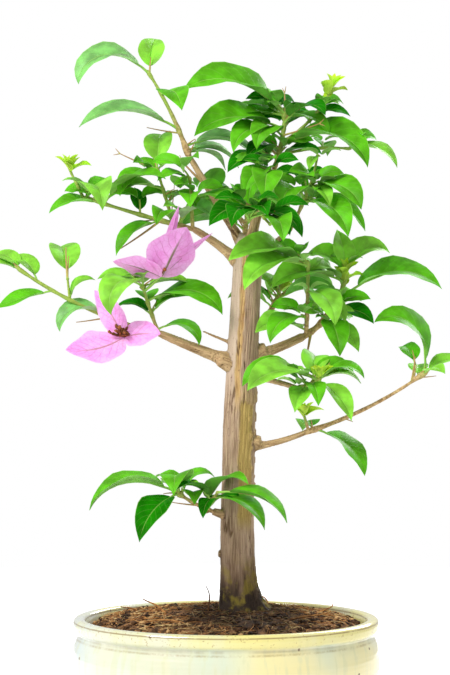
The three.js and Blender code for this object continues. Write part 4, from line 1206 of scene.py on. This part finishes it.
# %% Bracts and flower tubes
bract_heap, tube_heap = new_heap(), new_heap()
TUBES = 14
BRACT_GRID = blade_grid((0.06, 0.24, 0.45, 0.65, 0.84, 1.0), 18)
finer = seeded(19)
for bloom, foot in blooms:
    stem = arc(foot, bloom["bearing"], bloom["rise"], 10, bloom["length"], steps=8)
    heart, axis = stem["point"][-1], direction(*bloom["axis"])
    add_to(stalk_heap, *tube(stem["point"], np.linspace(0.75, 0.6, 9), 6))
    for k, (bearing, rise, turn, length, width) in enumerate(bloom["bracts"], 1):
        path = arc(heart + (0.2 * k - 1.5) * axis, bearing, rise, turn, length)
        roll = math.degrees(math.atan2(-axis @ path["side"][0], axis @ path["upper"][0]))
        add_blade(bract_heap, BRACT_GRID, path, 0.0, width * length / 2, (0.62, 0.9), roll, 12, 0.14, 0.07, 2,
                  twist=(1, 1))
    for k in range(TUBES):
        way = direction(137 * k + 30 * finer(), 60 * finer() - 20) + 0.8 * axis
        share = np.linspace(0, 1, 8)[:, None]
        line = heart + way * share**0.8 * (2.5 + 3.5 * finer())
        line = line + 1.8 * share * np.column_stack([lumps(line, 0.4, 9 * k + c) for c in (1, 5, 9)])
        radii = np.array([0.6, 0.8, 0.9, 0.8, 0.6, 0.8, 1.1, 0.5]) * (0.7 + 0.5 * finer())
        add_to(tube_heap, *tube(line, radii, 6))
print("bracts", len(bract_heap["points"]), "withered tubes", len(tube_heap["points"]))

# %% [markdown]
# ## Bloom finishes
# A bract is as thin as paper, so half of its light comes through it. Its veins lie on the blade's map like a
# leaf's, and the net between them is the edges of a Voronoi pattern, which needs no picture. The withered
# tubes are two browns in small clouds.

# %% Bloom finishes
def bract_finish(name, lilac, deep, rib_colour):
    """One side of a bract: two lilacs, veins in a net, and the colour of its rib."""
    material, shader, place = finish(name, {"Specular IOR Level": 0.2, "Sheen Weight": 0.15})
    u, across = blade_map(place)
    waver = cloud(place, 130, 2)
    beat = u * 6.5 - across * 2.4 + waver * 0.8
    vein = rising(abs(beat.maths("FRACT", beat) - 0.5), 0.07, 0.015) * rising(across, 1.0, 0.55)
    net = place.node("TexVoronoi", {"feature": "DISTANCE_TO_EDGE"}, {"Vector": place, "Scale": 330})
    mesh_line = rising(net, 0.09, 0.02) * 0.2
    rib_line = rising(across, 0.07, 0.02) * rising(u, 0.95, 0.4)
    papery = layered(
        blend(rising(waver, 0.3, 0.7), lilac, deep),
        (rising(u, 0.3, 0.0), 0.5, colour(246, 206, 230)),
        (rising(across, 0.7, 1.0), 0.4, colour(255, 214, 250)),
        (mesh_line, 1.0, colour(222, 112, 196)),
        (vein, 0.25, colour(206, 112, 150)),
        (rib_line, 0.85, rib_colour),
    )
    feed(shader, Base_Color=papery, Roughness=0.55 + 0.15 * waver)
    feed(shader, Normal=relief(vein + rib_line + mesh_line, 0.4, 0.6))
    see_through(material, shader, papery, 0.5)
    return material


inner = bract_finish("bract_inner", colour(255, 210, 252), colour(254, 190, 246), colour(226, 162, 182))
outer = bract_finish("bract_outer", colour(255, 206, 252), colour(252, 184, 243), colour(124, 136, 56))
withered, shader, place = finish("withered_tube", {"Specular IOR Level": 0.2})
brown = blend(rising(cloud(place, 420, 3), 0.35, 0.65), colour(64, 30, 14), colour(150, 92, 48))
feed(shader, Base_Color=brown, Roughness=0.7 + 0.2 * cloud(place, 600))
settle_heap(bract_heap, "bracts", [inner, outer], ["left_spray"], angle=62)
settle_heap(tube_heap, "flower_tubes", [withered], angle=60)

# %% [markdown]
# ## Twigs, thorns and old flower stalks
# A shoot is a thin tube that swells a little at each leaf. It is brown and corky at its foot and green where
# it is young, so each ring keeps how ripe it is. Thorns stand in leaf axils, and bare stalks are left where
# old blooms fell: those are listed, because in the picture a few of them reach clear of the leaves.

# %% Twigs and thorns
# A bare stalk is a shoot's number or a bough's name, share along it, bearing, rise, length, thickness, and
# whether it is forked.
BARE_STALKS = [
    (0, 0.25, 186, 6, 17, 0.5, False), (0, 0.0, 20, 62, 9, 0.5, False),
    ("leader_bough", 0.68, 180, 42, 18, 0.9, True), (1, 0.3, 184, -38, 25, 0.7, False),
    (1, 0.22, 20, 80, 20, 0.4, False), (3, 0.95, 182, 20, 20, 0.6, True),
    (7, 1.0, 200, 84, 15, 0.6, False), (5, 0.34, 186, -12, 16, 0.5, False), (5, 0.5, 190, -6, 9, 0.4, False),
    (10, 0.84, 350, 78, 13, 0.5, False), (10, 0.9, 358, 2, 9, 0.4, False), (10, 0.3, 20, -24, 5, 0.4, False),
    (14, 0.62, 322, 8, 23, 0.6, True), (14, 1.0, 120, 84, 9, 0.6, True), (14, 0.3, 176, 42, 12, 0.9, True),
    (14, 0.28, 350, -2, 9, 0.5, False), (8, 0.12, 250, -62, 14, 0.9, False), (18, 0.6, 190, 30, 12, 0.5, False),
    (26, 0.6, 182, 4, 14, 0.5, False), (26, 0.4, 240, -10, 8, 0.5, False),
]
TWIG_SIDES, SPIKE_SIDES = 9, 5
twig_heap, thorn_heap = new_heap(), new_heap()
for shoot in shoots:
    share = np.linspace(0, 1, 26)
    base, tip = shoot["ends"]
    radii = (base + (tip - base) * share) / 2
    for node in shoot["nodes"]:
        radii = radii + 0.3 * np.exp(-(((share - node) * shoot["path"]["share"].size / 1.4) ** 2))
    radii = radii * (1 + 0.05 * np.sin(40 * share + base)) * np.where(share > 0.99, 0.55, 1)
    old, young = shoot["woody"]
    ripe = np.repeat(old + (young - old) * share**0.8, TWIG_SIDES)
    add_to(twig_heap, *tube(on(shoot["path"], share), radii, TWIG_SIDES), ripe=ripe)


def add_spike(start, bearing, rise, turn, length, thick):
    """Adds a thin tapering tube and gives the point where it ends."""
    path = arc(start, bearing, rise, turn, length, steps=7)
    radii = thick * np.linspace(1, 0.4, 8)
    ripe = np.repeat(np.linspace(0, 1, 8), SPIKE_SIDES)
    add_to(thorn_heap, *tube(path["point"], radii, SPIKE_SIDES), ripe=ripe)
    return path["point"][-1]


for twiglet in twiglets:
    add_to(twig_heap, *tube(twiglet["point"], np.linspace(0.6, 0.4, 7), SPIKE_SIDES))
for thorn in thorns:
    add_spike(**thorn)
for parent, share, bearing, rise, length, thick, forked in BARE_STALKS:
    path = bough_paths[parent] if parent in bough_paths else shoots[parent]["path"]
    end = add_spike(on(path, share), bearing, rise, 6, length, thick)
    for off in (-32, 28) if forked else ():
        add_spike(end, bearing, rise + off, 0, 3.4, 0.34)
print("twigs", len(twig_heap["points"]), "thorns and stalks", len(thorn_heap["points"]))

# %% [markdown]
# ## Twig finishes
# A twig turns from green to brown as it ripens, so one material blends the two by what each ring keeps. A
# cloud shifts the border, because bark doesn't set in along a straight line. Thorns and old stalks are dry and
# straw coloured, and leaf stalks a light green.

# %% Twig finishes
twig, shader, place = finish("young_twig", {"Specular IOR Level": 0.3})
ripe = rising(kept_on(place, "ripe") + 0.5 * (cloud(place, 220, 3) - 0.5), 0.22, 0.62)
streaks = cloud(place, 700, 3)
green = blend(streaks, colour(112, 138, 46), colour(166, 188, 84))
brown = blend(rising(streaks, 0.3, 0.7), colour(146, 114, 72), colour(206, 174, 126))
feed(shader, Base_Color=blend(ripe, green, brown), Roughness=0.5 + 0.35 * ripe)
feed(shader, Normal=relief(streaks, 0.4))
thorn, shader, place = finish("dry_thorn", {"Specular IOR Level": 0.3})
dry = blend(rising(kept_on(place, "ripe"), 0.0, 0.55), colour(176, 164, 84), colour(172, 134, 86))
feed(shader, Base_Color=dry, Roughness=0.55 + 0.2 * cloud(place, 500))
stalk, shader, place = finish("leaf_stalk", {"Specular IOR Level": 0.35})
green = blend(cloud(place, 300, 3), colour(104, 164, 44), colour(164, 206, 92))
feed(shader, Base_Color=green, Roughness=0.4 + 0.2 * cloud(place, 500))
settle_heap(twig_heap, "twigs", [twig], spray_nodes, angle=60)
settle_heap(stalk_heap, "leaf_stalks", [stalk], angle=60)
settle_heap(thorn_heap, "thorns", [thorn], angle=60)

# %% [markdown]
# ## Floor
# The floor is plain and pale. The finished model has to stay within the frame's box but for a small margin.

# %% Floor finish
paper, shader, place = finish("white_floor", {"Specular IOR Level": 0.1})
white = blend(cloud(place, 3, 2), colour(255, 255, 255), colour(252, 252, 252))
feed(shader, Base_Color=white, Roughness=0.9 + 0.05 * cloud(place, 20))
floor.data.materials.append(paper)
